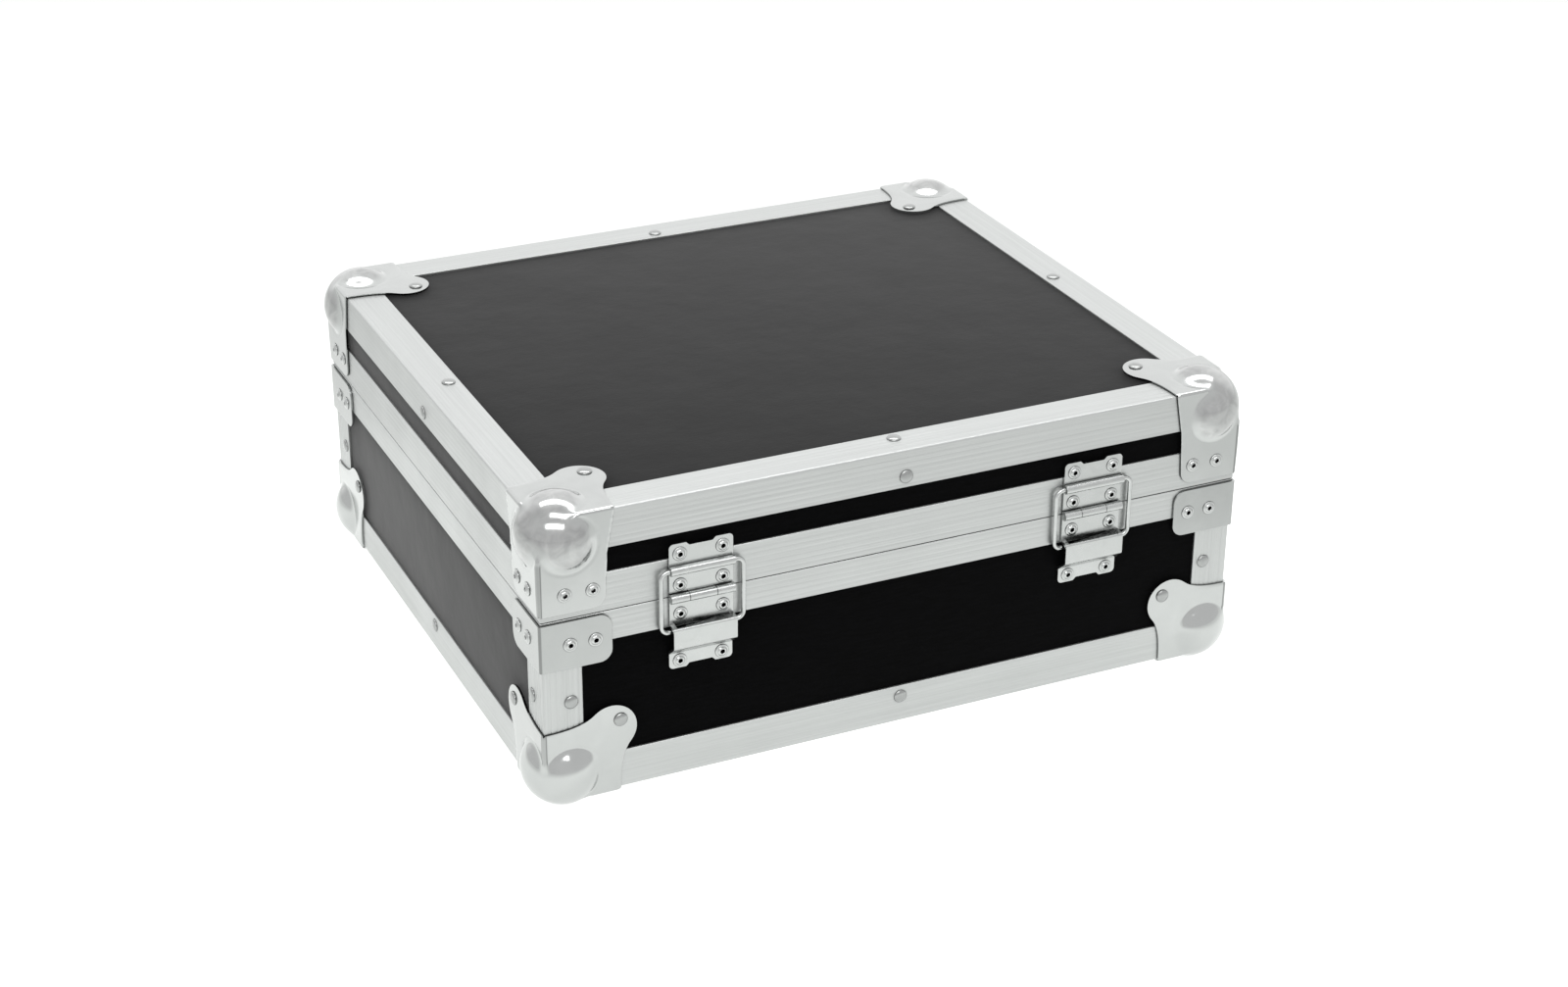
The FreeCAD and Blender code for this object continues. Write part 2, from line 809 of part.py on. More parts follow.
# Carrying handle: a moulded bow that hangs from two brackets
def handle_outline():
    wide = handle_half_width
    narrow = wide - handle_leg
    end = handle_leg / 2
    low = -handle_length - handle_bar

    def bend(x, z, radius, way):
        start = Vector(way * (x + radius), 0, z)
        middle = Vector(way * (x + radius * half_root), 0, z - radius * half_root)
        return Part.Arc(start, middle, Vector(way * x, 0, z - radius)).toShape()

    def leg_end(way):
        top = Vector(way * (wide - end), 0, end)
        return Part.Arc(Vector(way * wide, 0, 0), top, Vector(way * narrow, 0, 0)).toShape()

    outer_x = wide - handle_outer_round
    outer_z = low + handle_outer_round
    inner_x = narrow - handle_inner_round
    inner_z = -handle_length + handle_inner_round
    edges = [bend(outer_x, outer_z, handle_outer_round, way) for way in (1, -1)]
    edges += [bend(inner_x, inner_z, handle_inner_round, way) for way in (1, -1)]
    edges += [leg_end(way) for way in (1, -1)]
    edges.append(Part.makeLine(Vector(-outer_x, 0, low), Vector(outer_x, 0, low)))
    edges.append(Part.makeLine(Vector(-inner_x, 0, -handle_length), Vector(inner_x, 0, -handle_length)))
    for way in (1, -1):
        edges.append(Part.makeLine(Vector(way * wide, 0, 0), Vector(way * wide, 0, outer_z)))
        edges.append(Part.makeLine(Vector(way * narrow, 0, 0), Vector(way * narrow, 0, inner_z)))
    return Part.Wire(Part.sortEdges(edges)[0])


def handle_pin(radius, way):
    start = Vector(way * (handle_half_width - handle_leg / 2), 0, 0)
    reach = handle_half_width + handle_side_gap + bracket_barrel_length
    return cylinder(radius, start, Vector(way * reach, 0, 0))


def handle_grip():
    grip = Part.Face(handle_outline()).extrude(outward * handle_thickness)
    grip = grip.makeFillet(handle_edge_round, [e for e in grip.Edges if e.BoundBox.YLength < tolerance])
    grip.translate(outward * (-handle_thickness / 2))
    return grip.cut([handle_pin(handle_pin_radius + running_clearance, way) for way in (1, -1)])


def handle_bracket(way):
    start = handle_half_width + handle_side_gap
    end = start + bracket_barrel_length
    face = handle_standoff + edge_wall
    high = bracket_height / 2
    plate = box(start, end + bracket_wing, face - bracket_plate, face, -high, high)
    plate = rounded(plate, bracket_round, lambda e: is_along(e, inward))
    web = box(start, end, 0, face, -bracket_barrel_radius, bracket_barrel_radius)
    barrel = cylinder(bracket_barrel_radius, Vector(start, 0, 0), Vector(end, 0, 0))
    bracket = fused([plate, web, barrel])
    bracket = bracket.cut(handle_pin(handle_pin_radius + running_clearance, 1))
    return bracket if way > 0 else mirrored(bracket)


def bracket_rivets():
    x = handle_half_width + handle_side_gap + bracket_barrel_length + bracket_wing / 2
    spread = (-bracket_rivet_spread, bracket_rivet_spread)
    return [(way * x, z - handle_drop) for way in (1, -1) for z in spread]


def on_handle(shape):
    placed = shape.copy()
    placed.translate(Vector(0, -handle_standoff, parting_height - handle_drop))
    return on_side(placed, "front")


# Rivet tables
def base_rivet_table():
    table = []
    ear = ear_rivet - corner_plate
    low = -corner_plate
    brace_z = base_rim_top - brace_rivet_drop
    for side in side_turn:
        half = side_span(side) / 2
        away = side_outward(side)
        for way in (1, -1):
            ear_place = side_place(side, way * (half - ear), corner_plate, ear)
            table.append((ear_place, away, through_plate, False))
            post_x = way * (half - edge_rivet_inset)
            depth = edge_wall + panel_thickness
            table.append((side_place(side, post_x, 0, post_rivet_height), away, depth, False))
            for inset in brace_rivets:
                x = way * (half + corner_plate - inset)
                table.append((side_place(side, x, corner_plate, brace_z), away, through_plate, True))
        depth = edge_wall + panel_thickness
        table.append((side_place(side, 0, 0, edge_rivet_inset), away, depth, False))
        table.append((side_place(side, 0, -edge_rivet_inset, 0), down, depth, False))
    for x in (-1, 1):
        for y in (-1, 1):
            place = Vector(x * (case_width / 2 - ear), y * (case_depth / 2 - ear), low)
            table.append((place, down, through_plate, False))
    for x in (hinge_left, hinge_right):
        for dx, out, z in hinge_rivets_base():
            place = side_place("back", x + dx, out, parting_height + z)
            table.append((place, side_outward("back"), out + edge_wall + panel_thickness, True))
    for x in (-latch_offset, latch_offset):
        for dx, z in latch_base_rivets():
            place = side_place("front", x + dx, latch_plate, parting_height + z)
            table.append((place, side_outward("front"), latch_plate + edge_wall + panel_thickness, False))
    for x, z in bracket_rivets():
        place = side_place("front", x, bracket_plate - edge_wall, parting_height + z)
        table.append((place, side_outward("front"), bracket_plate + panel_thickness, False))
    return table


def lid_rivet_table():
    table = []
    ear = ear_rivet - corner_plate
    depth = edge_wall + panel_thickness
    leg_z = parting_height + lid_leg_rivet_height
    for side in side_turn:
        half = side_span(side) / 2
        away = side_outward(side)
        for way in (1, -1):
            for inset in lid_leg_rivets:
                x = way * (half + corner_plate - inset)
                table.append((side_place(side, x, corner_plate, leg_z), away, through_plate, True))
        table.append((side_place(side, 0, 0, case_height - edge_rivet_inset), away, depth, False))
        table.append((side_place(side, 0, -edge_rivet_inset, case_height), up, depth, False))
    for x in (-1, 1):
        for y in (-1, 1):
            top = case_height + corner_plate
            place = Vector(x * (case_width / 2 - ear), y * (case_depth / 2 - ear), top)
            table.append((place, up, through_plate, False))
    for x in (hinge_left, hinge_right):
        for dx, z in hinge_rivets_lid():
            place = side_place("back", x + dx, hinge_leaf, parting_height + z)
            table.append((place, side_outward("back"), hinge_leaf + depth, True))
    for x in (-latch_offset, latch_offset):
        for dx, z in keeper_rivets():
            place = side_place("front", x + dx, latch_plate, parting_height + z)
            table.append((place, side_outward("front"), latch_plate + depth, False))
    return table


# Foam lining
def foam_pad():
    x = panel_inner_x - foam_clearance
    y = panel_inner_y - foam_clearance
    bottom = floor_top + foam_clearance
    return box(-x, x, -y, y, bottom, bottom + foam_pad_thickness)


def foam_walls():
    bottom = floor_top + foam_pad_thickness + 2 * foam_clearance
    top = base_rim_top - rim_inner_drop - foam_clearance
    start = edge_wall + panel_thickness + foam_clearance
    long_half = panel_inner_x - foam_clearance
    short_half = panel_inner_y - foam_wall_thickness - 2 * foam_clearance
    walls = []
    for side in side_turn:
        half = long_half if side in ("front", "back") else short_half
        walls.append(on_side(box(-half, half, start, start + foam_wall_thickness, bottom, top), side))
    return Part.makeCompound(walls)


def lid_foam():
    x = panel_inner_x - foam_clearance
    y = panel_inner_y - foam_clearance
    top = ceiling_bottom - foam_clearance
    return box(-x, x, -y, y, top - lid_foam_thickness, top)


# Assembly
def base_nodes():
    nodes = {"base_bottom_panel": flat_panel(edge_wall)}
    for side, panel in wall_panels(floor_top, base_panel_top).items():
        nodes["base_%s_panel" % side] = panel
    room = corner_room(base_ball_radius, base_ball_inset)
    rooms = [on_corner(room, corner, -corner_plate) for corner in corner_turn]
    for name in nodes:
        nodes[name] = nodes[name].cut(rooms)
    for side in side_turn:
        nodes["base_bottom_edge_%s" % side] = bottom_edge(side)
        nodes["base_rim_%s" % side] = base_rim(side)
    shell = base_ball_corner()
    for corner in corner_turn:
        nodes["base_ball_corner_%s" % corner] = on_corner(shell, corner, -corner_plate)
    nodes["base_corner_posts"] = Part.makeCompound([corner_post(corner) for corner in corner_turn])
    nodes["base_corner_braces"] = Part.makeCompound([corner_brace(corner) for corner in corner_turn])
    plate = hinge_base_plate()
    nodes["hinge_base_plate_left"] = on_hinge(plate, hinge_left)
    nodes["hinge_base_plate_right"] = on_hinge(plate, hinge_right)
    latch = latch_base()
    nodes["latch_base_left"] = on_latch(latch, -latch_offset)
    nodes["latch_base_right"] = on_latch(latch, latch_offset)
    nodes["handle_brackets"] = on_handle(Part.makeCompound([handle_bracket(1), handle_bracket(-1)]))
    return nodes


def lid_nodes():
    nodes = {"lid_top_panel": flat_panel(ceiling_bottom)}
    for side, panel in wall_panels(lid_panel_bottom, ceiling_bottom).items():
        nodes["lid_%s_panel" % side] = panel
    room = upside_down(corner_room(lid_ball_radius, lid_ball_inset))
    rooms = [on_corner(room, corner, case_height + corner_plate) for corner in corner_turn]
    for name in nodes:
        nodes[name] = nodes[name].cut(rooms)
    for side in side_turn:
        nodes["lid_top_edge_%s" % side] = top_edge(side)
        nodes["lid_rim_%s" % side] = lid_rim(side)
    shell = lid_ball_corner()
    for corner in corner_turn:
        nodes["lid_ball_corner_%s" % corner] = on_corner(shell, corner, case_height + corner_plate)
    plate = hinge_lid_plate()
    nodes["hinge_lid_plate_left"] = on_hinge(plate, hinge_left)
    nodes["hinge_lid_plate_right"] = on_hinge(plate, hinge_right)
    keeper = latch_keeper()
    nodes["latch_keepers"] = Part.makeCompound([on_latch(keeper, x) for x in (-latch_offset, latch_offset)])
    return nodes


def riveted(nodes, table, rivet_node):
    done = {name: drilled(shape, table) for name, shape in nodes.items()}
    done[rivet_node] = Part.makeCompound([rivet(*row) for row in table])
    return done


def moving_nodes():
    pins = Part.makeCompound([handle_pin(handle_pin_radius, way) for way in (1, -1)])
    nodes = {
        "hinge_stay_wire_left": on_hinge(stay_wire(), hinge_left),
        "hinge_stay_wire_right": on_hinge(stay_wire(), hinge_right),
        "handle_grip": on_handle(handle_grip()),
        "handle_pins": on_handle(pins),
    }
    for side, x in (("left", -latch_offset), ("right", latch_offset)):
        nodes["latch_hook_%s" % side] = on_latch(latch_hook(), x)
        nodes["latch_rotor_%s" % side] = on_latch(latch_rotor(), x)
        nodes["latch_wing_%s" % side] = on_latch(latch_wing(), x)
    return nodes


def inner_nodes():
    pins = Part.makeCompound([on_hinge(hinge_pin(), x) for x in (hinge_left, hinge_right)])
    return {
        "hinge_pins": pins,
        "foam_bottom_pad": foam_pad(),
        "foam_wall_strips": foam_walls(),
        "lid_foam": lid_foam(),
    }


def main():
    os.makedirs("parts", exist_ok=True)
    nodes = riveted(base_nodes(), base_rivet_table(), "base_rivets")
    nodes.update(riveted(lid_nodes(), lid_rivet_table(), "lid_rivets"))
    nodes.update(moving_nodes())
    nodes.update(inner_nodes())
    for name, shape in nodes.items():
        shape.translate(Vector(0, body_shift, foot_drop))
        shape.exportStep("parts/%s.step" % name)
    print(len(nodes), "nodes written")


main()
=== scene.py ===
import json
import math

import bmesh
import bpy
from mathutils import Matrix, Vector


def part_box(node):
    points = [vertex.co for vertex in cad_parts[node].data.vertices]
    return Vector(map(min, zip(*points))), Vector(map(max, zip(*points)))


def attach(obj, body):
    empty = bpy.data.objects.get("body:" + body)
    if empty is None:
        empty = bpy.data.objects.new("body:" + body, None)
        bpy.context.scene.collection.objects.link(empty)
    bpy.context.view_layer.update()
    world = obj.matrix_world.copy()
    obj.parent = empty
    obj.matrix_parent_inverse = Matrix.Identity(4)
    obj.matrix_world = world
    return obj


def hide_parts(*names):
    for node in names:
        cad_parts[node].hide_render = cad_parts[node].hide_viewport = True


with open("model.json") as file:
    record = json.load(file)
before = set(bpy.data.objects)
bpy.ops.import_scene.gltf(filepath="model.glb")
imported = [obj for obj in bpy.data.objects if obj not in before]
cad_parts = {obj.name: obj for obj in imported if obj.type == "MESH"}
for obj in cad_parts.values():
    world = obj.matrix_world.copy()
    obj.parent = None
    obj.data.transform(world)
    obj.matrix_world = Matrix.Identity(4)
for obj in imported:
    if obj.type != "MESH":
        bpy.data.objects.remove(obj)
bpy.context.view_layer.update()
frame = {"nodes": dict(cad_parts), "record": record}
scene = bpy.context.scene
mm = 0.001
print("frame loaded:", len(frame["nodes"]), "nodes")

# The aluminium box that everything sits on, read from the frame, in metres
shell = {
    "left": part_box("base_rim_left")[0].x,
    "right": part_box("base_rim_right")[1].x,
    "front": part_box("base_rim_front")[0].y,
    "back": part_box("base_rim_back")[1].y,
    "bottom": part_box("base_bottom_edge_front")[0].z,
    "top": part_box("lid_top_edge_front")[1].z,
    "rimTop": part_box("base_rim_front")[1].z,
}
middle = Vector(((shell["left"] + shell["right"]) / 2, (shell["front"] + shell["back"]) / 2, 0))
sideTurn = {"front": 0, "right": 90, "back": 180, "left": 270}
cornerWay = {"front_left": (1, 1), "front_right": (-1, 1), "back_right": (-1, -1), "back_left": (1, -1)}


def sideReach(side):
    if side in ("front", "back"):
        return (shell["back"] - shell["front"]) / 2
    return (shell["right"] - shell["left"]) / 2


def sideSpan(side):
    return 2 * sideReach("left" if side in ("front", "back") else "front")


def sideFrame(side):  # x along the side, y into the case from its outer face, z up
    turn = Matrix.Rotation(math.radians(sideTurn[side]), 4, "Z")
    return Matrix.Translation(middle) @ turn @ Matrix.Translation((0, -sideReach(side), 0))


# Colours and nodes; a Mix node takes its colours at 6 and 7 and gives one at 2, its numbers at 2, 3 and 0
def fromHex(text):
    channels = [int(text[i:i + 2], 16) / 255 for i in (1, 3, 5)]
    linear = [c / 12.92 if c <= 0.04045 else ((c + 0.055) / 1.055) ** 2.4 for c in channels]
    return (*linear, 1.0)


def addNode(tree, kind, values=None, **settings):
    node = tree.nodes.new(kind)
    for name, value in settings.items():
        setattr(node, name, value)
    for socket, value in (values or {}).items():
        if isinstance(value, bpy.types.NodeSocket):
            tree.links.new(value, node.inputs[socket])
        else:
            node.inputs[socket].default_value = value
    return node


def newMaterial(name, **fixed):
    material = bpy.data.materials.new(name)
    material.use_nodes = True
    tree = material.node_tree
    shader = tree.nodes["Principled BSDF"]
    for socket, value in fixed.items():
        shader.inputs[socket.replace("_", " ")].default_value = value
    place = addNode(tree, "ShaderNodeTexCoord").outputs["Object"]
    return material, tree, shader, place


def perMillimetre(size):
    return 1 / (size * mm)


noiseSpan = (0.3, 0.7)  # most of a noise texture's values lie in this


# Phenolic film-faced plywood: a hot-pressed resin film, near black, with a fine cloth-like press grain.
# Looked at steeply it is almost black, and at a low angle it turns to a soft even grey. Level, long and
# short panels each get a copy with a sheen of its own strength: painted sheen that makes the level panels
# paler than the upright ones.
laminateLook = {
    "dark": "#020202", "pale": "#060607", "grain": 0.9, "streak": 9.0, "mottle": 38.0, "wave": 0.3,
    "grainSpan": (0.12, 0.42), "grainStrength": 0.6, "roughness": (0.40, 0.52), "bump": 0.06, "ior": 1.05,
    "sheenRoughness": 0.31,
    "panelSheens": {"level": ("x", 0.91), "long": ("x", 0.5), "short": ("y", 0.54)},
}


def laminateMaterial(panel):
    look = laminateLook
    # each kind of panel has its own painted sheen strength
    along, sheen = look["panelSheens"][panel]
    material, tree, shader, place = newMaterial(
        "phenolicFilmPlywood_" + panel, IOR=look["ior"], Sheen_Weight=sheen,
        Sheen_Roughness=look["sheenRoughness"])
    drawn = look["grain"] / look["streak"]
    stretch = {"x": (drawn, 1, 1), "y": (1, drawn, 1)}[along]
    mapped = addNode(tree, "ShaderNodeMapping", {"Vector": place, "Scale": stretch}).outputs["Vector"]
    fine = perMillimetre(look["grain"])  # a real film grain is about half this, drawn coarser to show
    weave = addNode(tree, "ShaderNodeTexNoise", {
        "Vector": mapped, "Scale": fine, "Detail": 2.0}).outputs["Fac"]
    grit = addNode(tree, "ShaderNodeTexNoise", {
        "Vector": place, "Scale": fine, "Detail": 3.0}).outputs["Fac"]
    mottle = addNode(tree, "ShaderNodeTexNoise", {
        "Vector": place, "Scale": perMillimetre(look["mottle"]), "Detail": 4.0}).outputs["Fac"]
    both = addNode(tree, "ShaderNodeMath", {0: weave, 1: grit}, operation="MULTIPLY").outputs[0]
    tint = addNode(tree, "ShaderNodeMapRange", {
        "Value": both, "From Min": look["grainSpan"][0], "From Max": look["grainSpan"][1]}).outputs[0]
    colour = addNode(tree, "ShaderNodeMix", {
        "Factor": tint, 6: fromHex(look["dark"]), 7: fromHex(look["pale"])}, data_type="RGBA").outputs[2]
    rough = addNode(tree, "ShaderNodeMapRange", {
        "Value": mottle, "From Min": noiseSpan[0], "From Max": noiseSpan[1],
        "To Min": look["roughness"][0], "To Max": look["roughness"][1]}).outputs[0]
    waves = addNode(tree, "ShaderNodeBump", {  # the plies show faintly through the film
        "Height": mottle, "Strength": 1.0, "Distance": look["wave"] * mm}).outputs[0]
    bump = addNode(tree, "ShaderNodeBump", {
        "Height": both, "Strength": look["grainStrength"], "Distance": look["bump"] * mm,
        "Normal": waves}).outputs[0]
    tree.links.new(colour, shader.inputs["Base Color"])
    tree.links.new(rough, shader.inputs["Roughness"])
    tree.links.new(bump, shader.inputs["Normal"])
    return material


# Painted shade: the colour darkens towards a dark grey where less of the room is in sight within a few
# millimetres, in gaps and creases, and where a piece carries a painted shade mark of its own.
paintedShadeLook = {"colour": "#191918", "reach": 1.5, "open": (0.25, 0.85), "samples": 6}


def withPaintedShade(tree, colour):
    look = paintedShadeLook
    # painted shade where the room is hidden close by
    shade = addNode(tree, "ShaderNodeAmbientOcclusion", {
        "Distance": look["reach"] * mm}, samples=look["samples"])
    gap = addNode(tree, "ShaderNodeMapRange", {
        "Value": shade.outputs["AO"], "From Min": look["open"][0], "From Max": look["open"][1],
        "To Min": 1.0, "To Max": 0.0}).outputs[0]
    crease = addNode(tree, "ShaderNodeAttribute", attribute_name="crease").outputs["Fac"]
    amount = addNode(tree, "ShaderNodeMath", {0: gap, 1: crease}, operation="MAXIMUM").outputs[0]
    return addNode(tree, "ShaderNodeMix", {
        "Factor": amount, 6: colour, 7: fromHex(look["colour"])}, data_type="RGBA").outputs[2]


# Clear-anodised extruded aluminium: satin, pale, with faint drawing lines that run along the profile.
aluminiumLook = {
    "dark": "#b4b6b5", "pale": "#bdbfbe", "line": 0.7, "length": 90.0,
    "roughness": (0.34, 0.46), "bump": 0.008, "lineStrength": 0.5, "patch": 40.0,
}


def aluminiumMaterial(along):
    look = aluminiumLook
    material, tree, shader, place = newMaterial("anodisedAluminium_" + along, Metallic=0.9)
    across, down = perMillimetre(look["line"]), perMillimetre(look["length"])
    scale = [down if axis == along else across for axis in "xyz"]
    mapped = addNode(tree, "ShaderNodeMapping", {"Vector": place, "Scale": scale}).outputs["Vector"]
    lines = addNode(tree, "ShaderNodeTexNoise", {
        "Vector": mapped, "Scale": 1.0, "Detail": 3.0}).outputs["Fac"]
    patches = addNode(tree, "ShaderNodeTexNoise", {
        "Vector": place, "Scale": perMillimetre(look["patch"]), "Detail": 3.0}).outputs["Fac"]
    tint = addNode(tree, "ShaderNodeMapRange", {
        "Value": lines, "From Min": noiseSpan[0], "From Max": noiseSpan[1]}).outputs[0]
    colour = addNode(tree, "ShaderNodeMix", {
        "Factor": tint, 6: fromHex(look["dark"]), 7: fromHex(look["pale"])}, data_type="RGBA").outputs[2]
    rough = addNode(tree, "ShaderNodeMapRange", {
        "Value": patches, "From Min": noiseSpan[0], "From Max": noiseSpan[1],
        "To Min": look["roughness"][0], "To Max": look["roughness"][1]}).outputs[0]
    bump = addNode(tree, "ShaderNodeBump", {
        "Height": lines, "Strength": look["lineStrength"], "Distance": look["bump"] * mm}).outputs[0]
    # colour with painted shade in gaps and at shade marks
    tree.links.new(withPaintedShade(tree, colour), shader.inputs["Base Color"])
    tree.links.new(rough, shader.inputs["Roughness"])
    tree.links.new(bump, shader.inputs["Normal"])
    return material


# Plated pressings: steel sheet with a bright zinc or nickel coat, smooth, with faint smears and hairlines
# that break up the reflections a little. Braces are duller. Where the lid's domes stand proud of the folds
# the colour is painted darker and cloudier, with a roughness of its own: painted shade that dims what those
# domes reflect; the base's domes don't get it.
domeShadeLook = {"dark": "#8f9090", "pale": "#c9cac9", "roughness": 0.13, "cloud": 9.0}
platedLooks = {
    "brightZincSteel": {"dark": "#b1b3b2", "pale": "#bdbfbe", "roughness": (0.10, 0.18), "smear": 14.0},
    "dullZincSteel": {"dark": "#a4a6a5", "pale": "#b0b2b1", "roughness": (0.14, 0.24), "smear": 10.0},
    "nickelPlatedSteel": {"dark": "#b0b2b1", "pale": "#c3c5c4", "roughness": (0.18, 0.30), "smear": 8.0},
    "blindRivetAluminium": {"dark": "#b0b2b1", "pale": "#c8cac9", "roughness": (0.12, 0.22), "smear": 3.0},
    "polishedSpringSteel": {"dark": "#b3b5b4", "pale": "#c7c9c8", "roughness": (0.10, 0.20), "smear": 5.0},
}
hairlines = {"width": 0.6, "strength": 0.25, "depth": 0.004}


# painted shade: a darker, cloudy colour on the lid's domes
def withDomeShade(tree, place, colour, rough):
    look = domeShadeLook
    cloud = addNode(tree, "ShaderNodeTexNoise", {
        "Vector": place, "Scale": perMillimetre(look["cloud"]), "Detail": 4.0,
        "Distortion": 1.0}).outputs["Fac"]
    worn = addNode(tree, "ShaderNodeMix", {
        "Factor": cloud, 6: fromHex(look["dark"]), 7: fromHex(look["pale"])}, data_type="RGBA").outputs[2]
    amount = addNode(tree, "ShaderNodeAttribute", attribute_name="burnish").outputs["Fac"]
    colour = addNode(tree, "ShaderNodeMix", {
        "Factor": amount, 6: colour, 7: worn}, data_type="RGBA").outputs[2]
    rough = addNode(tree, "ShaderNodeMix", {"Factor": amount, 2: rough, 3: look["roughness"]}).outputs[0]
    return colour, rough


def platedMaterial(name):
    look = platedLooks[name]
    material, tree, shader, place = newMaterial(name, Metallic=1.0)
    smears = addNode(tree, "ShaderNodeTexNoise", {
        "Vector": place, "Scale": perMillimetre(look["smear"]), "Detail": 5.0,
        "Distortion": 0.6}).outputs["Fac"]
    hairs = addNode(tree, "ShaderNodeTexNoise", {
        "Vector": place, "Scale": perMillimetre(hairlines["width"]), "Detail": 2.0}).outputs["Fac"]
    colour = addNode(tree, "ShaderNodeMix", {
        "Factor": smears, 6: fromHex(look["dark"]), 7: fromHex(look["pale"])}, data_type="RGBA").outputs[2]
    rough = addNode(tree, "ShaderNodeMapRange", {
        "Value": smears, "From Min": noiseSpan[0], "From Max": noiseSpan[1],
        "To Min": look["roughness"][0], "To Max": look["roughness"][1]}).outputs[0]
    if name == "brightZincSteel":
        colour, rough = withDomeShade(tree, place, colour, rough)
    bump = addNode(tree, "ShaderNodeBump", {
        "Height": hairs, "Strength": hairlines["strength"], "Distance": hairlines["depth"] * mm}).outputs[0]
    # colour with painted shade in gaps and at shade marks
    tree.links.new(withPaintedShade(tree, colour), shader.inputs["Base Color"])
    tree.links.new(rough, shader.inputs["Roughness"])
    tree.links.new(bump, shader.inputs["Normal"])
    return material


# Open-cell polyurethane foam, charcoal: matt, with pores about a millimetre wide that swallow light.
foamLook = {"dark": "#0d0d0e", "pale": "#2b2b2d", "pore": 1.1, "clump": 6.0, "depthSpan": (0.05, 0.4),
            "bump": 0.5, "poreStrength": 0.9}


def foamMaterial():
    look = foamLook
    material, tree, shader, place = newMaterial("charcoalPolyurethaneFoam", Roughness=0.95, IOR=1.2)
    pores = addNode(tree, "ShaderNodeTexVoronoi", {
        "Vector": place, "Scale": perMillimetre(look["pore"])}).outputs["Distance"]
    clumps = addNode(tree, "ShaderNodeTexNoise", {
        "Vector": place, "Scale": perMillimetre(look["clump"]), "Detail": 4.0}).outputs["Fac"]
    depth = addNode(tree, "ShaderNodeMath", {0: pores, 1: clumps}, operation="MULTIPLY").outputs[0]
    tint = addNode(tree, "ShaderNodeMapRange", {
        "Value": depth, "From Min": look["depthSpan"][0], "From Max": look["depthSpan"][1]}).outputs[0]
    colour = addNode(tree, "ShaderNodeMix", {
        "Factor": tint, 6: fromHex(look["pale"]), 7: fromHex(look["dark"])}, data_type="RGBA").outputs[2]
    bump = addNode(tree, "ShaderNodeBump", {
        "Height": pores, "Strength": look["poreStrength"], "Distance": look["bump"] * mm},
        invert=True).outputs[0]
    tree.links.new(colour, shader.inputs["Base Color"])
    tree.links.new(bump, shader.inputs["Normal"])
    return material


# Moulded black polypropylene with a spark-eroded pebble grain: soft gloss on the tops of the grain.
gripLook = {"dark": "#09090a", "pale": "#141415", "grain": 0.8, "wear": 18.0, "roughness": (0.42, 0.58),
            "bump": 0.12, "grainStrength": 0.7}


def gripMaterial():
    look = gripLook
    material, tree, shader, place = newMaterial("grainedPolypropylene", IOR=1.49)
    pebble = addNode(tree, "ShaderNodeTexVoronoi", {
        "Vector": place, "Scale": perMillimetre(look["grain"])}, feature="SMOOTH_F1").outputs["Distance"]
    wear = addNode(tree, "ShaderNodeTexNoise", {
        "Vector": place, "Scale": perMillimetre(look["wear"]), "Detail": 4.0}).outputs["Fac"]
    colour = addNode(tree, "ShaderNodeMix", {
        "Factor": wear, 6: fromHex(look["dark"]), 7: fromHex(look["pale"])}, data_type="RGBA").outputs[2]
    rough = addNode(tree, "ShaderNodeMapRange", {
        "Value": wear, "From Min": noiseSpan[0], "From Max": noiseSpan[1],
        "To Min": look["roughness"][0], "To Max": look["roughness"][1]}).outputs[0]
    bump = addNode(tree, "ShaderNodeBump", {
        "Height": pebble, "Strength": look["grainStrength"], "Distance": look["bump"] * mm}).outputs[0]
    tree.links.new(colour, shader.inputs["Base Color"])
    tree.links.new(rough, shader.inputs["Roughness"])
    tree.links.new(bump, shader.inputs["Normal"])
    return material


laminate = {panel: laminateMaterial(panel) for panel in laminateLook["panelSheens"]}
aluminium = {along: aluminiumMaterial(along) for along in "xyz"}
plated = {name: platedMaterial(name) for name in platedLooks}
foam = foamMaterial()
grip = gripMaterial()
print("materials made")


# Pieces
bodyOf = {node: body for body, nodes in frame["record"]["behaviour"]["bodies"].items() for node in nodes}
smoothAngle = math.radians(38)
weldReach = 0.002  # mm


def shadeByAngle(bm):
    for face in bm.faces:
        face.smooth = True
    for edge in bm.edges:
        edge.smooth = not edge.is_manifold or edge.calc_face_angle(0) < smoothAngle


def addPiece(name, bm, material, node, flat=False):  # the piece stands for that node and rides on its body
    shadeByAngle(bm)
    mesh = bpy.data.meshes.new(name)
    bm.to_mesh(mesh)
    bm.free()
    return adoptMesh(name, flatten(mesh) if flat else mesh, material, node)


def flatten(mesh):  # normals that follow the large faces, so broken edges don't bend the flats' shading
    holder = bpy.data.objects.new(mesh.name + "Holder", mesh)
    scene.collection.objects.link(holder)
    modifier = holder.modifiers.new("weights", "WEIGHTED_NORMAL")
    modifier.keep_sharp = True
    depsgraph = bpy.context.evaluated_depsgraph_get()
    flat = bpy.data.meshes.new_from_object(holder.evaluated_get(depsgraph))
    bpy.data.objects.remove(holder)
    bpy.data.meshes.remove(mesh)
    return flat


def adoptMesh(name, mesh, material, node):
    piece = bpy.data.objects.new(name, mesh)
    scene.collection.objects.link(piece)
    mesh.materials.clear()
    mesh.materials.append(material)
    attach(piece, bodyOf[node])
    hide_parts(node)
    return piece


def weldedCopy(node):
    bm = bmesh.new()
    bm.from_mesh(frame["nodes"][node].data)
    bmesh.ops.remove_doubles(bm, verts=bm.verts, dist=weldReach * mm)
    return bm


# Pressed and cast hardware keeps its solid's shape and gets broken edges.
edgeBreak = {"flat": math.radians(2), "sharp": math.radians(40), "width": 0.2, "segments": 2,
             "crest": 1.1, "crestBand": 0.05, "crestLength": 20.0, "crestSegments": 5}


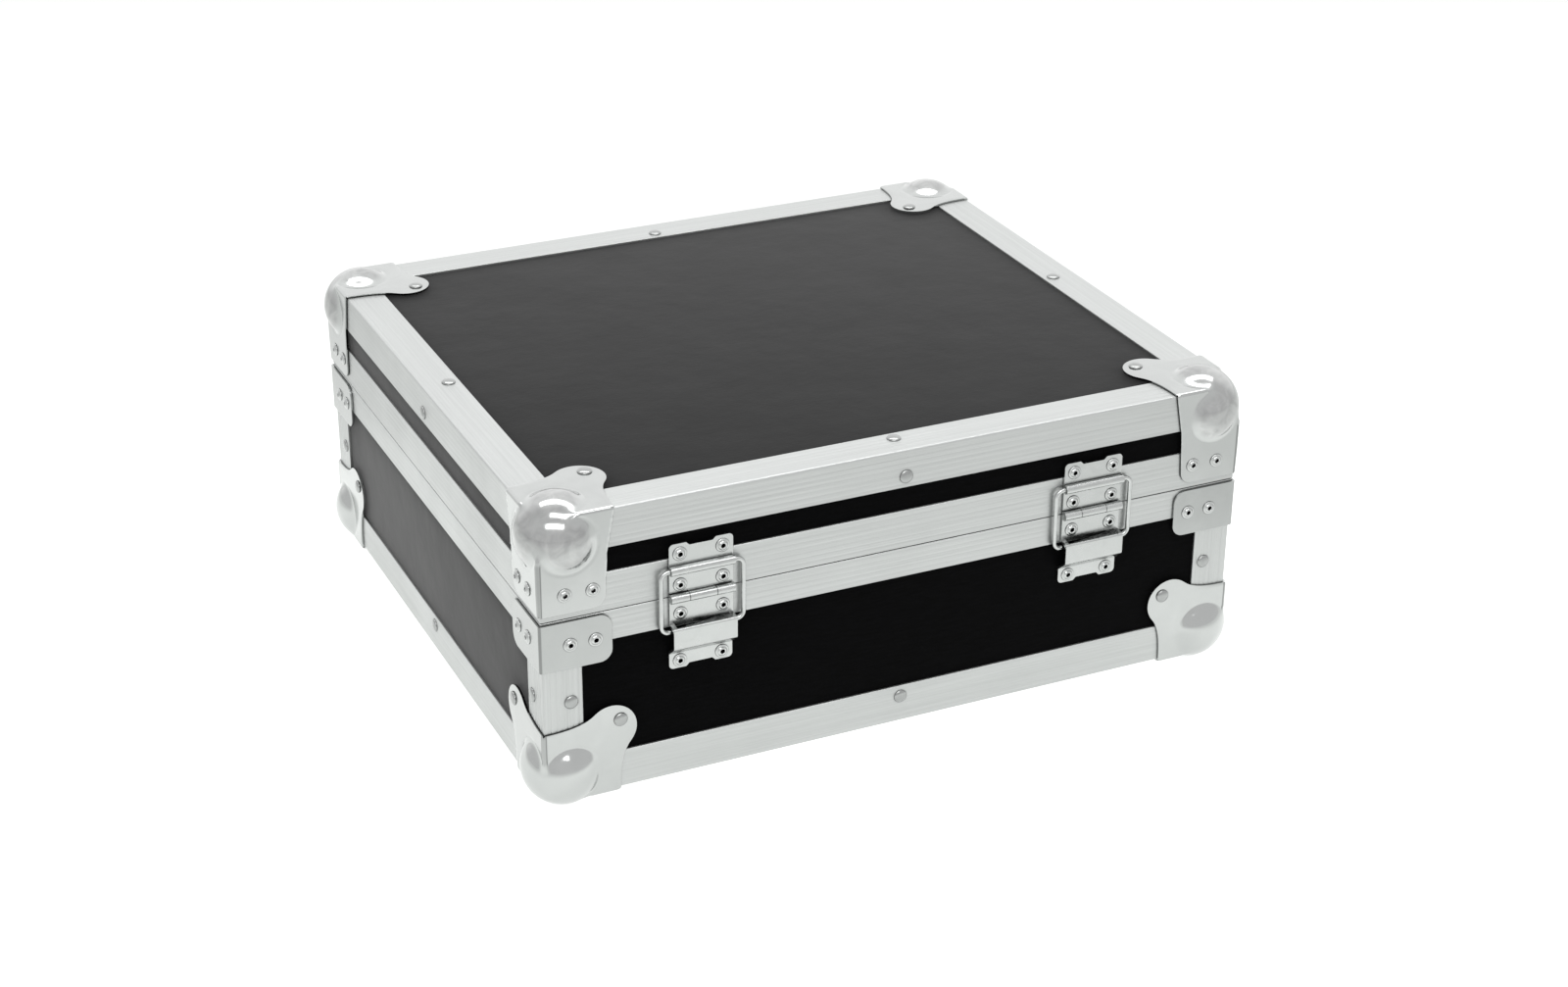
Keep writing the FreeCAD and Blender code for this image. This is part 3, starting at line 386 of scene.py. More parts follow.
def brokenEdges(node):
    bm = weldedCopy(node)
    bmesh.ops.dissolve_limit(bm, angle_limit=edgeBreak["flat"], verts=bm.verts, edges=bm.edges)
    if node.startswith("hinge_base_plate"):
        roundCrest(bm)
    sharp = [e for e in bm.edges if e.is_manifold and e.calc_face_angle(0) > edgeBreak["sharp"]]
    bmesh.ops.bevel(bm, geom=sharp, offset=edgeBreak["width"] * mm, segments=edgeBreak["segments"],
                    profile=0.5, affect="EDGES", clamp_overlap=True)
    return bm


def roundCrest(bm):  # the bridge over the stay wire is bent, not folded sharp
    out = max(v.co.y for v in bm.verts)
    crest = [e for e in bm.edges if all(out - v.co.y < edgeBreak["crestBand"] * mm for v in e.verts)
             and abs(e.verts[0].co.x - e.verts[1].co.x) > edgeBreak["crestLength"] * mm]
    bmesh.ops.bevel(bm, geom=crest, offset=edgeBreak["crest"] * mm, segments=edgeBreak["crestSegments"],
                    profile=0.5, affect="EDGES", clamp_overlap=True)


# Ball corners
ballCorners = {
    "plate": 1.5, "foldRound": 2.0, "bluntRound": 12.0, "bluntStart": 12.0, "bluntEnd": 24.5, "blend": 1.6,
    "moatDepth": 0.28, "moatPlace": 1.0, "moatWidth": 0.6,
    "foldShade": 0.25, "foldTurn": 0.3, "braceFoldShade": 0.4, "scoreMark": 0.7, "score": 0.35,
    "edgeInset": 0.45, "edgeDip": 0.3, "foldCuts": [0.4, 0.9, 1.4, 1.7, 2.0, 2.3, 2.6, 3.0],
    "gridStep": 0.9, "gridReach": 40.0, "overlap": 5.0, "weld": 0.01,
    "settleSpan": (0.2, 2.5), "settleSteps": 26,
    "earEdge": 43.0, "earCenter": 38.5, "earRadius": 14.1, "earTurn": 40.0, "lobeSteps": 20,
    "neckPull": 8.0, "neckStart": 14.0, "neckSteps": 10,
    "legWidth": 37.0, "legRound": 7.0, "legFlare": 1.5, "legClearance": 4.0, "toeSteps": 8,
    "base": {"radius": 22.0, "inset": 15.5, "flat": 0.5, "burnish": 0.0},
    "lid": {"radius": 22.4, "inset": 17.3, "flat": 0.0, "burnish": 1.0}, "domeShadeRise": (0.5, 2.4),
}


def bezier(a, b, c, d, count):
    points = []
    for i in range(1, count):
        t = i / count
        s = 1 - t
        points.append(a * s ** 3 + b * 3 * s * s * t + c * 3 * s * t * t + d * t ** 3)
    return points


def earOutline():
    sizes = ballCorners
    center = Vector((sizes["earCenter"], sizes["earCenter"]))
    turn, radius = sizes["earTurn"], sizes["earRadius"]
    lobe = []
    for i in range(sizes["lobeSteps"] + 1):
        angle = math.radians(-turn + (90 + 2 * turn) * i / sizes["lobeSteps"])
        lobe.append(center + radius * Vector((math.cos(angle), math.sin(angle))))
    end = math.radians(90 + turn)
    pull = lobe[-1] + sizes["neckPull"] * Vector((-math.sin(end), math.cos(end)))
    start = Vector((0, sizes["earEdge"]))
    neck = bezier(lobe[-1], pull, Vector((sizes["neckStart"], start.y)), start, sizes["neckSteps"])
    other = [Vector((p.y, p.x)) for p in reversed(neck)]
    over = sizes["overlap"]
    return lobe + neck + [start, Vector((-over, start.y)), Vector((-over, -over)), Vector((start.y, -over)),
                          Vector((start.y, 0))] + other


def legOutline(drop):
    sizes = ballCorners
    width, radius, over = sizes["legWidth"], sizes["legRound"], sizes["overlap"]
    toe = []
    for i in range(sizes["toeSteps"] + 1):
        angle = math.radians(90 * i / sizes["toeSteps"])
        toe.append(Vector((
            width - radius + radius * math.cos(angle), drop - radius + radius * math.sin(angle))))
    return toe + [Vector((-over, drop)), Vector((-over, -over)), Vector((sizes["earEdge"], -over)),
                  Vector((sizes["earEdge"], 0)), Vector((width + sizes["legFlare"], sizes["bluntEnd"]))]


def flatPlate(outline):  # an outline cut into a grid of small faces, with a narrow ring along its edge
    sizes = ballCorners
    bm = bmesh.new()
    bm.faces.new([bm.verts.new((p.x, p.y, 0)) for p in outline])
    bmesh.ops.inset_region(bm, faces=bm.faces[:], thickness=sizes["edgeInset"], use_even_offset=True)
    cuts = sizes["foldCuts"][:]
    gridLines = int(sizes["gridReach"] / sizes["gridStep"])
    cuts += [cuts[-1] + sizes["gridStep"] * i for i in range(1, gridLines)]
    for axis in (Vector((1, 0, 0)), Vector((0, 1, 0))):
        whole = bm.verts[:] + bm.edges[:] + bm.faces[:]
        bmesh.ops.bisect_plane(bm, geom=whole, plane_co=Vector(), plane_no=-axis, clear_outer=True)
        for cut in cuts:
            whole = bm.verts[:] + bm.edges[:] + bm.faces[:]
            bmesh.ops.bisect_plane(bm, geom=whole, plane_co=axis * cut, plane_no=axis)
    return bm


def smoothLess(a, b, width):
    mix = min(max(0.5 + 0.5 * (b - a) / width, 0), 1)
    return b + (a - b) * mix - width * mix * (1 - mix)


def cornerDistance(p, ball):  # below zero inside the pressed corner: folds that widen into a ball
    sizes = ballCorners
    box, dome = foldedDistance(p), domeDistance(p, ball)
    box += sizes["moatDepth"] * math.exp(-((dome - sizes["moatPlace"]) / sizes["moatWidth"]) ** 2)
    return smoothLess(box, dome, sizes["blend"])


def domeDistance(p, ball):
    return (p - Vector((ball["inset"],) * 3)).length - ball["radius"]


def foldedDistance(p):
    sizes = ballCorners
    near = min(max((sizes["bluntEnd"] - max(p)) / (sizes["bluntEnd"] - sizes["bluntStart"]), 0), 1)
    radius = sizes["foldRound"] + (sizes["bluntRound"] - sizes["foldRound"]) * near * near * (3 - 2 * near)
    out = [radius - c for c in p]
    return math.sqrt(sum(max(c, 0) ** 2 for c in out)) + min(max(out), 0) - radius


def settle(p, ball):  # slides a point along its ray from the ball's centre to the pressed surface
    center = Vector((ball["inset"],) * 3)
    ray = p - center
    near, far = ballCorners["settleSpan"]
    for i in range(ballCorners["settleSteps"]):
        t = (near + far) / 2
        if cornerDistance(center + ray * t, ball) > 0:
            far = t
        else:
            near = t
    return center + ray * far


def foldShade(p):  # the press leaves two scored lines beside an upright fold; painted shade darkens them, and more faintly the fold between them
    sizes = ballCorners
    across = max(p.x, p.y)
    if across > 2 * sizes["foldRound"]:
        return 0.0
    clear = min(max((p.z - sizes["bluntEnd"]) / sizes["foldRound"], 0), 1)
    line = math.exp(-((across - sizes["foldRound"]) / sizes["score"]) ** 2)
    return clear * max(sizes["scoreMark"] * line, sizes["foldShade"] if across < sizes["foldRound"] else 0)


def pressedCorner(ball, floorOutline, wallOutline):
    sizes = ballCorners
    plates = (
        (flatPlate(floorOutline), lambda u, v: (u, v, 0), True),
        (flatPlate(wallOutline), lambda u, v: (u, 0, v), False),
        (flatPlate(wallOutline), lambda u, v: (0, u, v), True),
    )
    bm = bmesh.new()
    for plate, fold, flip in plates:
        made = {v: bm.verts.new(fold(v.co.x, v.co.y)) for v in plate.verts}
        for face in plate.faces:
            ring = [made[v] for v in face.verts]
            bm.faces.new(reversed(ring) if flip else ring)
        plate.free()
    bmesh.ops.remove_doubles(bm, verts=bm.verts, dist=sizes["weld"])
    floor = ball["inset"] - ball["radius"] + ball["flat"]
    crease = bm.verts.layers.float.new("crease")
    burnish = bm.verts.layers.float.new("burnish")
    rise = sizes["domeShadeRise"]
    for v in bm.verts:
        # painted shade along the upright folds
        v[crease] = foldShade(v.co)
        v.co = settle(v.co, ball)
        # how far the dome stands proud of the folds sets its painted shade
        proud = min(max((foldedDistance(v.co) - rise[0]) / (rise[1] - rise[0]), 0), 1)
        v[burnish] = ball["burnish"] * proud
        v.co.z = max(v.co.z, floor)
    bm.normal_update()
    rim = {v for e in bm.edges if e.is_boundary for v in e.verts}
    dips = {v: v.normal * sizes["edgeDip"] for v in rim}
    inner = {v: bm.verts.new(v.co - v.normal * sizes["plate"]) for v in bm.verts[:]}
    for v, dip in dips.items():
        v.co -= dip
    edges = [e for e in bm.edges if e.is_boundary]
    for face in bm.faces[:]:
        bm.faces.new([inner[v] for v in reversed(face.verts)])
    for edge in edges:
        a, b = edge.link_loops[0].vert, edge.link_loops[0].link_loop_next.vert
        bm.faces.new((b, a, inner[a], inner[b]))
    return bm


def cornerFrame(corner, part):
    wayX, wayY = cornerWay[corner]
    wayZ = 1 if part == "base" else -1
    x = shell["left" if wayX > 0 else "right"]
    y = shell["front" if wayY > 0 else "back"]
    z = shell["bottom" if wayZ > 0 else "top"]
    plate = ballCorners["plate"] * mm
    origin = Matrix.Translation((x - wayX * plate, y - wayY * plate, z - wayZ * plate))
    return origin @ Matrix.Diagonal((wayX * mm, wayY * mm, wayZ * mm, 1))


def ballCornerPieces():
    drop = (shell["top"] - shell["rimTop"]) / mm + ballCorners["plate"] - ballCorners["legClearance"]
    walls = {"base": earOutline(), "lid": legOutline(drop)}
    for part, wall in walls.items():
        pressed = pressedCorner(ballCorners[part], earOutline(), wall)
        for corner in cornerWay:
            bm = pressed.copy()
            place = cornerFrame(corner, part)
            bm.transform(place)
            if place.determinant() < 0:
                bmesh.ops.reverse_faces(bm, faces=bm.faces[:])
            node = f"{part}_ball_corner_{corner}"
            addPiece("pressed_" + node, bm, plated["brightZincSteel"], node)
        pressed.free()
    print("ball corners pressed")


# Extruded edges, posts and closing profiles
extrusions = {
    "leg": 22.0, "wall": 1.5, "round": 1.0, "bendSteps": 6, "setback": 26.0, "postGap": 0.3,
    "ribPitch": 3.1, "ribFirst": 3.2, "ribWidth": 0.5, "ribDepth": 0.035, "postRibDepth": 0.1,
    "baseRim": 17.2, "lidRim": 22.0, "web": 1.6, "innerDrop": 11.0, "panel": 7.0, "partingGap": 0.4,
    "grooveInset": 3.8, "grooveWidth": 3.6, "grooveDepth": 2.8, "tongueGap": 0.5, "tongueTaper": 0.4,
    "break": 0.3,
}


def ribbedFace(start, end, depth):  # places along an outer face and how deep each one lies
    sizes = extrusions
    points = [(start, 0)]
    groove = start + sizes["ribFirst"]
    while groove + sizes["ribWidth"] < end:
        half = sizes["ribWidth"] / 2
        points += [(groove - half, 0), (groove, depth), (groove + half, 0)]
        groove += sizes["ribPitch"]
    return points + [(end, 0)]


def ribbedAngle(depth):  # the angle's section: y into the case, z up, corner at the origin
    sizes = extrusions
    leg, wall, radius, chamfer = sizes["leg"], sizes["wall"], sizes["round"], sizes["break"]
    upright = [(deep, z) for z, deep in ribbedFace(radius, leg - chamfer, depth)]
    floor = [(y, deep) for y, deep in ribbedFace(radius, leg - chamfer, depth)]
    bend = []
    for i in range(1, sizes["bendSteps"]):
        angle = math.radians(180 + 90 * i / sizes["bendSteps"])
        bend.append((radius + radius * math.cos(angle), radius + radius * math.sin(angle)))
    ends = [(leg, chamfer), (leg, wall), (wall, wall), (wall, leg), (chamfer, leg)]
    return list(reversed(upright)) + bend + floor + ends


def sweep(section, length, mitre=0):  # along x, with the ends cut at the mitre
    bm = bmesh.new()
    loops = []
    for way in (-1, 1):
        loops.append([bm.verts.new((way * (length / 2 - mitre * y), y, z)) for y, z in section])
    bm.faces.new(loops[0])
    bm.faces.new(reversed(loops[1]))
    for i in range(len(section)):
        j = (i + 1) % len(section)
        bm.faces.new((loops[0][j], loops[0][i], loops[1][i], loops[1][j]))
    bmesh.ops.recalc_face_normals(bm, faces=bm.faces[:])
    return bm


def scaledTo(bm, place):
    bm.transform(place @ Matrix.Diagonal((mm, mm, mm, 1)))
    if place.determinant() < 0:
        bmesh.ops.reverse_faces(bm, faces=bm.faces[:])
    return bm


def edgePieces():
    section = ribbedAngle(extrusions["ribDepth"])
    flip = Matrix.Diagonal((1, 1, -1, 1))
    for side in sideTurn:
        length = sideSpan(side) / mm - 2 * extrusions["setback"]
        metal = aluminium["x" if side in ("front", "back") else "y"]
        rows = (("base_bottom_edge_", "bottom", Matrix.Identity(4)), ("lid_top_edge_", "top", flip))
        for prefix, level, turned in rows:
            place = sideFrame(side) @ Matrix.Translation((0, 0, shell[level])) @ turned
            node = prefix + side
            addPiece("ribbed_" + node, scaledTo(sweep(section, length), place), metal, node)
    posts = bmesh.new()
    low = shell["bottom"] + extrusions["setback"] * mm
    high = shell["rimTop"] - (extrusions["baseRim"] + extrusions["postGap"]) * mm
    stand = Matrix(((0, 1, 0, 0), (0, 0, 1, 0), (1, 0, 0, 0), (0, 0, 0, 1)))  # length along z
    for wayX, wayY in cornerWay.values():
        x = shell["left" if wayX > 0 else "right"]
        y = shell["front" if wayY > 0 else "back"]
        place = Matrix.Translation((x, y, (low + high) / 2)) @ Matrix.Diagonal((wayX, wayY, 1, 1)) @ stand
        post = scaledTo(sweep(ribbedAngle(extrusions["postRibDepth"]), (high - low) / mm), place)
        mesh = bpy.data.meshes.new("post")
        post.to_mesh(mesh)
        post.free()
        posts.from_mesh(mesh)
        bpy.data.meshes.remove(mesh)
    addPiece("ribbed_corner_posts", posts, aluminium["z"], "base_corner_posts")
    print("edges and posts drawn")


def rimFace(low, high):
    return [(deep, z) for z, deep in ribbedFace(low, high, extrusions["ribDepth"])]


def baseRimSection():
    sizes = extrusions
    wall, chamfer = sizes["wall"], sizes["break"]
    depth = 2 * wall + sizes["panel"]
    low, drop = -sizes["baseRim"], -sizes["innerDrop"]
    seat = -sizes["web"] - sizes["grooveDepth"]
    grooveEnd = sizes["grooveInset"] + sizes["grooveWidth"]
    return [
        (wall, low), (wall, seat), (depth - wall, seat), (depth - wall, drop), (depth, drop), (depth, 0),
        (grooveEnd, 0), (grooveEnd, -sizes["grooveDepth"]), (sizes["grooveInset"], -sizes["grooveDepth"]),
        (sizes["grooveInset"], 0), (chamfer, 0),
    ] + list(reversed(rimFace(low + chamfer, -chamfer))) + [(chamfer, low)]


def lidRimSection():
    sizes = extrusions
    wall, chamfer, gap = sizes["wall"], sizes["break"], sizes["partingGap"]
    depth = 2 * wall + sizes["panel"]
    start = sizes["grooveInset"] + sizes["tongueGap"]
    end = sizes["grooveInset"] + sizes["grooveWidth"] - sizes["tongueGap"]
    tip = sizes["tongueGap"] - sizes["grooveDepth"]
    high = gap + sizes["lidRim"]
    return [
        (chamfer, gap), (start, gap), (start + sizes["tongueTaper"], tip),
        (end - sizes["tongueTaper"], tip), (end, gap), (depth, gap), (depth, gap + sizes["innerDrop"]),
        (depth - wall, gap + sizes["innerDrop"]), (depth - wall, gap + sizes["web"]),
        (wall, gap + sizes["web"]), (wall, high), (chamfer, high),
    ] + list(reversed(rimFace(gap + chamfer, high - chamfer)))


def rimPieces():
    for side in sideTurn:
        metal = aluminium["x" if side in ("front", "back") else "y"]
        place = sideFrame(side) @ Matrix.Translation((0, 0, shell["rimTop"]))
        for prefix, section in (("base_rim_", baseRimSection()), ("lid_rim_", lidRimSection())):
            bm = scaledTo(sweep(section, sideSpan(side) / mm, mitre=1), place)
            addPiece("drawn_" + prefix + side, bm, metal, prefix + side)
    print("closing profiles drawn")


# Hardware that keeps its solid's form
# Painted shade: a darker band along the braces' upright folds
def shadeUprightFolds(bm):
    bm.normal_update()
    crease = bm.verts.layers.float.new("crease")
    reach = (sideReach("left"), sideReach("front"))
    for v in bm.verts:
        away = max(reach[i] - abs(v.co[i] - middle[i]) for i in (0, 1))
        turned = min(abs(v.normal.x), abs(v.normal.y)) > ballCorners["foldTurn"]
        onFold = turned and away < ballCorners["foldRound"] * mm
        v[crease] = ballCorners["braceFoldShade"] if onFold else 0.0


def hardwarePieces():
    nickel, zinc = plated["nickelPlatedSteel"], plated["dullZincSteel"]
    spring = plated["polishedSpringSteel"]
    edged = {"base_corner_braces": zinc, "handle_brackets": nickel, "latch_keepers": nickel}
    smooth = {"hinge_pins": nickel, "handle_pins": nickel, "handle_grip": grip}
    for side in ("left", "right"):
        for name in ("hinge_base_plate_", "hinge_lid_plate_", "latch_base_", "latch_hook_", "latch_rotor_",
                     "latch_wing_"):
            edged[name + side] = nickel
        smooth["hinge_stay_wire_" + side] = spring
    for node, material in edged.items():
        bm = brokenEdges(node)
        if node == "base_corner_braces":
            shadeUprightFolds(bm)
        addPiece("finished_" + node, bm, material, node, flat=True)
    for node, material in smooth.items():
        addPiece("finished_" + node, weldedCopy(node), material, node)
    print("hardware finished")


# Rivets: heads set out by a node tree on points read from the rivet solids
rivets = {
    "turns": 28, "seed": 7, "spread": 0.03,
    "shank": [(0.0, -2.4), (2.0, -2.4), (2.0, -0.15), (3.9, -0.15)],
    "mandrel": [(3.9, 0.0), (3.86, 0.3), (3.6, 0.52), (3.1, 0.62), (2.75, 0.62), (2.6, 0.7), (2.4, 1.0),
                (2.1, 1.28), (1.75, 1.38), (1.45, 1.3), (1.25, 1.1), (1.2, 0.8), (1.2, -1.6), (0.0, -1.6)],
    "plain": [(3.9, 0.0), (3.86, 0.3), (3.6, 0.62), (3.0, 0.95), (2.2, 1.2), (1.2, 1.36), (0.0, 1.4)],
    "bore": 1.21, "boreTop": 1.0, "groove": 2.75, "hollowReach": 0.5,
    # painted shade for each part of a head
    "headShades": {"mandrel": 0.0, "plain": 0.32, "groove": 0.35, "bore": 1.0},
}


def rivetHead(kind):
    outline = rivets["shank"] + rivets[kind]
    bm = bmesh.new()
    crease = bm.verts.layers.float.new("crease")
    rings = []
    for radius, height in outline:
        if radius == 0:
            rings.append([bm.verts.new((0, 0, height * mm))])
            continue
        ring = []
        for i in range(rivets["turns"]):
            angle = 2 * math.pi * i / rivets["turns"]
            out = radius * mm
            ring.append(bm.verts.new((out * math.cos(angle), out * math.sin(angle), height * mm)))
        rings.append(ring)
    for low, high in zip(rings, rings[1:]):
        for i in range(rivets["turns"]):
            j = (i + 1) % rivets["turns"]
            if len(low) == 1:
                bm.faces.new((low[0], high[j], high[i]))
            elif len(high) == 1:
                bm.faces.new((low[i], low[j], high[0]))
            else:
                bm.faces.new((low[i], low[j], high[j], high[i]))
    # Painted shade: the bore is coloured fully dark and the groove about a third dark; plain heads are
    # darkened about a third all over, standing in for the darker room they reflect.
    for (radius, height), ring in zip(outline, rings):
        inBore = kind == "mandrel" and radius < rivets["bore"] and height < rivets["boreTop"]
        inGroove = kind == "mandrel" and radius == rivets["groove"]
        mark = rivets["headShades"]["bore" if inBore else "groove" if inGroove else kind]
        for v in ring:
            v[crease] = mark
    shadeByAngle(bm)
    mesh = bpy.data.meshes.new(kind + "Head")
    bm.to_mesh(mesh)
    bm.free()
    head = bpy.data.objects.new(kind + "Head", mesh)
    scene.collection.objects.link(head)
    return head


def islands(bm):
    left = set(bm.verts)
    while left:
        seed = left.pop()
        group, front = {seed}, [seed]
        while front:
            v = front.pop()
            for edge in v.link_edges:
                other = edge.other_vert(v)
                if other not in group:
                    group.add(other)
                    front.append(other)
        left -= group
        yield [v.co.copy() for v in group]


def rivetSeats(node):  # each rivet's seat, facing and kind, read from its solid
    bm = weldedCopy(node)
    center = Vector((middle.x, middle.y, (shell["bottom"] + shell["top"]) / 2))
    wide = 2 * rivets["plain"][0][0] * mm
    seats = []
    for points in islands(bm):
        low = Vector([min(p[i] for p in points) for i in range(3)])
        high = Vector([max(p[i] for p in points) for i in range(3)])
        size, mid = high - low, (low + high) / 2
        axis = max(range(3), key=lambda i: abs(size[i] - wide))
        way = 1 if mid[axis] > center[axis] else -1
        facing = Vector([way if i == axis else 0 for i in range(3)])
        tip = high[axis] if way > 0 else low[axis]
        crown = mid.copy()
        crown[axis] = tip
        hollow = min((p - crown).length for p in points) > rivets["hollowReach"] * mm
        height = rivets["plain"][-1][1] * mm
        seats.append((crown - facing * height, facing, hollow))
    bm.free()
    return sorted(seats, key=lambda seat: tuple(round(c, 5) for c in seat[0]))


def rivetTree():
    tree = bpy.data.node_groups.new("setRivets", "GeometryNodeTree")
    tree.interface.new_socket("Seats", in_out="INPUT", socket_type="NodeSocketGeometry")
    for name, kind in (("Plain head", "Object"), ("Mandrel head", "Object"), ("Material", "Material"),
                       ("Seed", "Int"), ("Size spread", "Float")):
        tree.interface.new_socket(name, in_out="INPUT", socket_type="NodeSocket" + kind)
    tree.interface.new_socket("Rivets", in_out="OUTPUT", socket_type="NodeSocketGeometry")
    given = addNode(tree, "NodeGroupInput").outputs
    facing = addNode(tree, "GeometryNodeInputNamedAttribute", {"Name": "facing"}, data_type="FLOAT_VECTOR")
    hollow = addNode(tree, "GeometryNodeInputNamedAttribute", {"Name": "hollow"}, data_type="BOOLEAN")
    solid = addNode(tree, "FunctionNodeBooleanMath", {0: hollow.outputs["Attribute"]}, operation="NOT")
    turned = addNode(tree, "FunctionNodeAlignRotationToVector", {
        "Vector": facing.outputs["Attribute"]}, axis="Z")
    least = addNode(tree, "ShaderNodeMath", {0: 1.0, 1: given["Size spread"]}, operation="SUBTRACT")
    size = addNode(tree, "FunctionNodeRandomValue", {2: least.outputs[0], 3: 1.0, "Seed": given["Seed"]},
                   data_type="FLOAT")
    sets = []
    for head, chosen in (("Plain head", solid.outputs[0]), ("Mandrel head", hollow.outputs["Attribute"])):
        shape = addNode(tree, "GeometryNodeObjectInfo", {"Object": given[head]})
        sets.append(addNode(tree, "GeometryNodeInstanceOnPoints", {
            "Points": given["Seats"], "Selection": chosen, "Instance": shape.outputs["Geometry"],
            "Rotation": turned.outputs["Rotation"], "Scale": size.outputs[1]}).outputs["Instances"])
    joined = addNode(tree, "GeometryNodeJoinGeometry")
    for made in sets:
        tree.links.new(made, joined.inputs["Geometry"])
    real = addNode(tree, "GeometryNodeRealizeInstances", {"Geometry": joined.outputs["Geometry"]})
    coated = addNode(tree, "GeometryNodeSetMaterial", {
        "Geometry": real.outputs["Geometry"], "Material": given["Material"]})
    addNode(tree, "NodeGroupOutput", {"Rivets": coated.outputs["Geometry"]})
    return tree


def meshFromTree(name, start, tree, inputs):  # a tree's result as a plain mesh
    holder = bpy.data.objects.new(name + "Start", start)
    scene.collection.objects.link(holder)
    modifier = holder.modifiers.new(tree.name, "NODES")
    modifier.node_group = tree
    for item in tree.interface.items_tree:
        if item.in_out == "INPUT" and item.name in inputs:
            modifier[item.identifier] = inputs[item.name]
    bpy.context.view_layer.update()
    depsgraph = bpy.context.evaluated_depsgraph_get()
    mesh = bpy.data.meshes.new_from_object(holder.evaluated_get(depsgraph))
    holder.modifiers.remove(modifier)
    bpy.data.objects.remove(holder)
    return mesh


def rivetPieces():
    tree = rivetTree()
    heads = {"Plain head": rivetHead("plain"), "Mandrel head": rivetHead("mandrel")}
    for node in ("base_rivets", "lid_rivets"):
        seats = rivetSeats(node)
        start = bpy.data.meshes.new(node + "Seats")
        start.from_pydata([seat for seat, facing, hollow in seats], [], [])
        facings = start.attributes.new("facing", "FLOAT_VECTOR", "POINT")
        hollows = start.attributes.new("hollow", "BOOLEAN", "POINT")
        for i, (seat, facing, hollow) in enumerate(seats):
            facings.data[i].vector = facing
            hollows.data[i].value = hollow
        metal = plated["blindRivetAluminium"]
        mesh = meshFromTree(node, start, tree, {
            **heads, "Material": metal, "Seed": rivets["seed"], "Size spread": rivets["spread"]})
        for left in ("facing", "hollow"):
            if left in mesh.attributes:
                mesh.attributes.remove(mesh.attributes[left])
        adoptMesh("set_" + node, mesh, metal, node)
        bored = sum(hollow for seat, facing, hollow in seats)
        print(node, len(seats), "set,", bored, "with a mandrel hole")
    for head in heads.values():
        bpy.data.objects.remove(head)


# Foam lining
foamSizes = {
    "eggPitch": 44.0, "eggDepth": 15.0, "eggStep": 4.0, "cube": 15.0, "slit": 0.9, "slitDepth": 2.2,
    "wallRound": 2.5, "wallSegments": 4, "skin": 0.2,
}


def spread(low, high, step):
    count = max(1, round((high - low) / step))
    return [low + (high - low) * i / count for i in range(count + 1)]


def reliefBlock(xs, ys, back, face):  # a block whose one face is a height map over the grid
    bm = bmesh.new()
    grid = [[bm.verts.new((x, y, face(x, y))) for y in ys] for x in xs]
    flat = [[bm.verts.new((x, y, back)) for y in ys] for x in xs]
    for layer in (grid, flat):
        for i in range(len(xs) - 1):
            for j in range(len(ys) - 1):
                bm.faces.new((layer[i][j], layer[i + 1][j], layer[i + 1][j + 1], layer[i][j + 1]))
    for i in range(len(xs) - 1):
        for j in (0, -1):
            bm.faces.new((grid[i][j], grid[i + 1][j], flat[i + 1][j], flat[i][j]))
    for j in range(len(ys) - 1):
        for i in (0, -1):
            bm.faces.new((grid[i][j], grid[i][j + 1], flat[i][j + 1], flat[i][j]))
    bmesh.ops.recalc_face_normals(bm, faces=bm.faces[:])
    return bm


def eggCrateLid():
    low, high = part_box("lid_foam")
    pitch, depth = foamSizes["eggPitch"] * mm, foamSizes["eggDepth"] * mm
    step = foamSizes["eggStep"] * mm

    def hollow(x, y):
        turnX = 2 * math.pi * (x - middle.x) / pitch
        turnY = 2 * math.pi * (y - middle.y) / pitch
        wave = math.cos(turnX) * math.cos(turnY)
        return low.z + foamSizes["skin"] * mm + depth * (0.5 - 0.5 * wave)

    bm = reliefBlock(spread(low.x, high.x, step), spread(low.y, high.y, step), high.z, hollow)
    addPiece("egg_crate_lid_foam", bm, foam, "lid_foam")


def slitLines(low, high):
    cube, half = foamSizes["cube"] * mm, foamSizes["slit"] * mm / 2
    count = round((high - low) / cube)
    lines = [low, high]
    for i in range(1, count):
        line = low + (high - low) * i / count
        lines += [line - half, line, line + half]
    return sorted(lines), [low + (high - low) * i / count for i in range(1, count)]


def cubedPad():
    low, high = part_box("foam_bottom_pad")
    xs, slitX = slitLines(low.x, high.x)
    ys, slitY = slitLines(low.y, high.y)
    close = foamSizes["slit"] * mm / 4

    def face(x, y):
        cut = min(abs(x - s) for s in slitX) < close or min(abs(y - s) for s in slitY) < close
        return high.z - foamSizes["skin"] * mm - (foamSizes["slitDepth"] * mm if cut else 0)

    bm = reliefBlock(xs, ys, low.z, face)
    addPiece("cubed_bottom_pad", bm, foam, "foam_bottom_pad")


def wallStrips():
    bm = weldedCopy("foam_wall_strips")
    bmesh.ops.dissolve_limit(bm, angle_limit=edgeBreak["flat"], verts=bm.verts, edges=bm.edges)
    bmesh.ops.bevel(bm, geom=bm.edges[:], offset=foamSizes["wallRound"] * mm,
                    segments=foamSizes["wallSegments"], profile=0.5, affect="EDGES", clamp_overlap=True)
    addPiece("soft_wall_strips", bm, foam, "foam_wall_strips")


def foamPieces():
    eggCrateLid()
    cubedPad()
    wallStrips()
    print("foam laid")


def panelMaterials():
    # level, long and short panels get their own copies of the film, with painted sheen of their own
    # strength
    kinds = {"top": "level", "bottom": "level", "left": "short", "right": "short"}
    for node, piece in frame["nodes"].items():
        if node.endswith("_panel"):
            panel = kinds.get(node.split("_")[1], "long")
            piece.data.materials.clear()
            piece.data.materials.append(laminate[panel])
    print("panels faced")


ballCornerPieces()
edgePieces()
rimPieces()
hardwarePieces()
rivetPieces()
foamPieces()
panelMaterials()
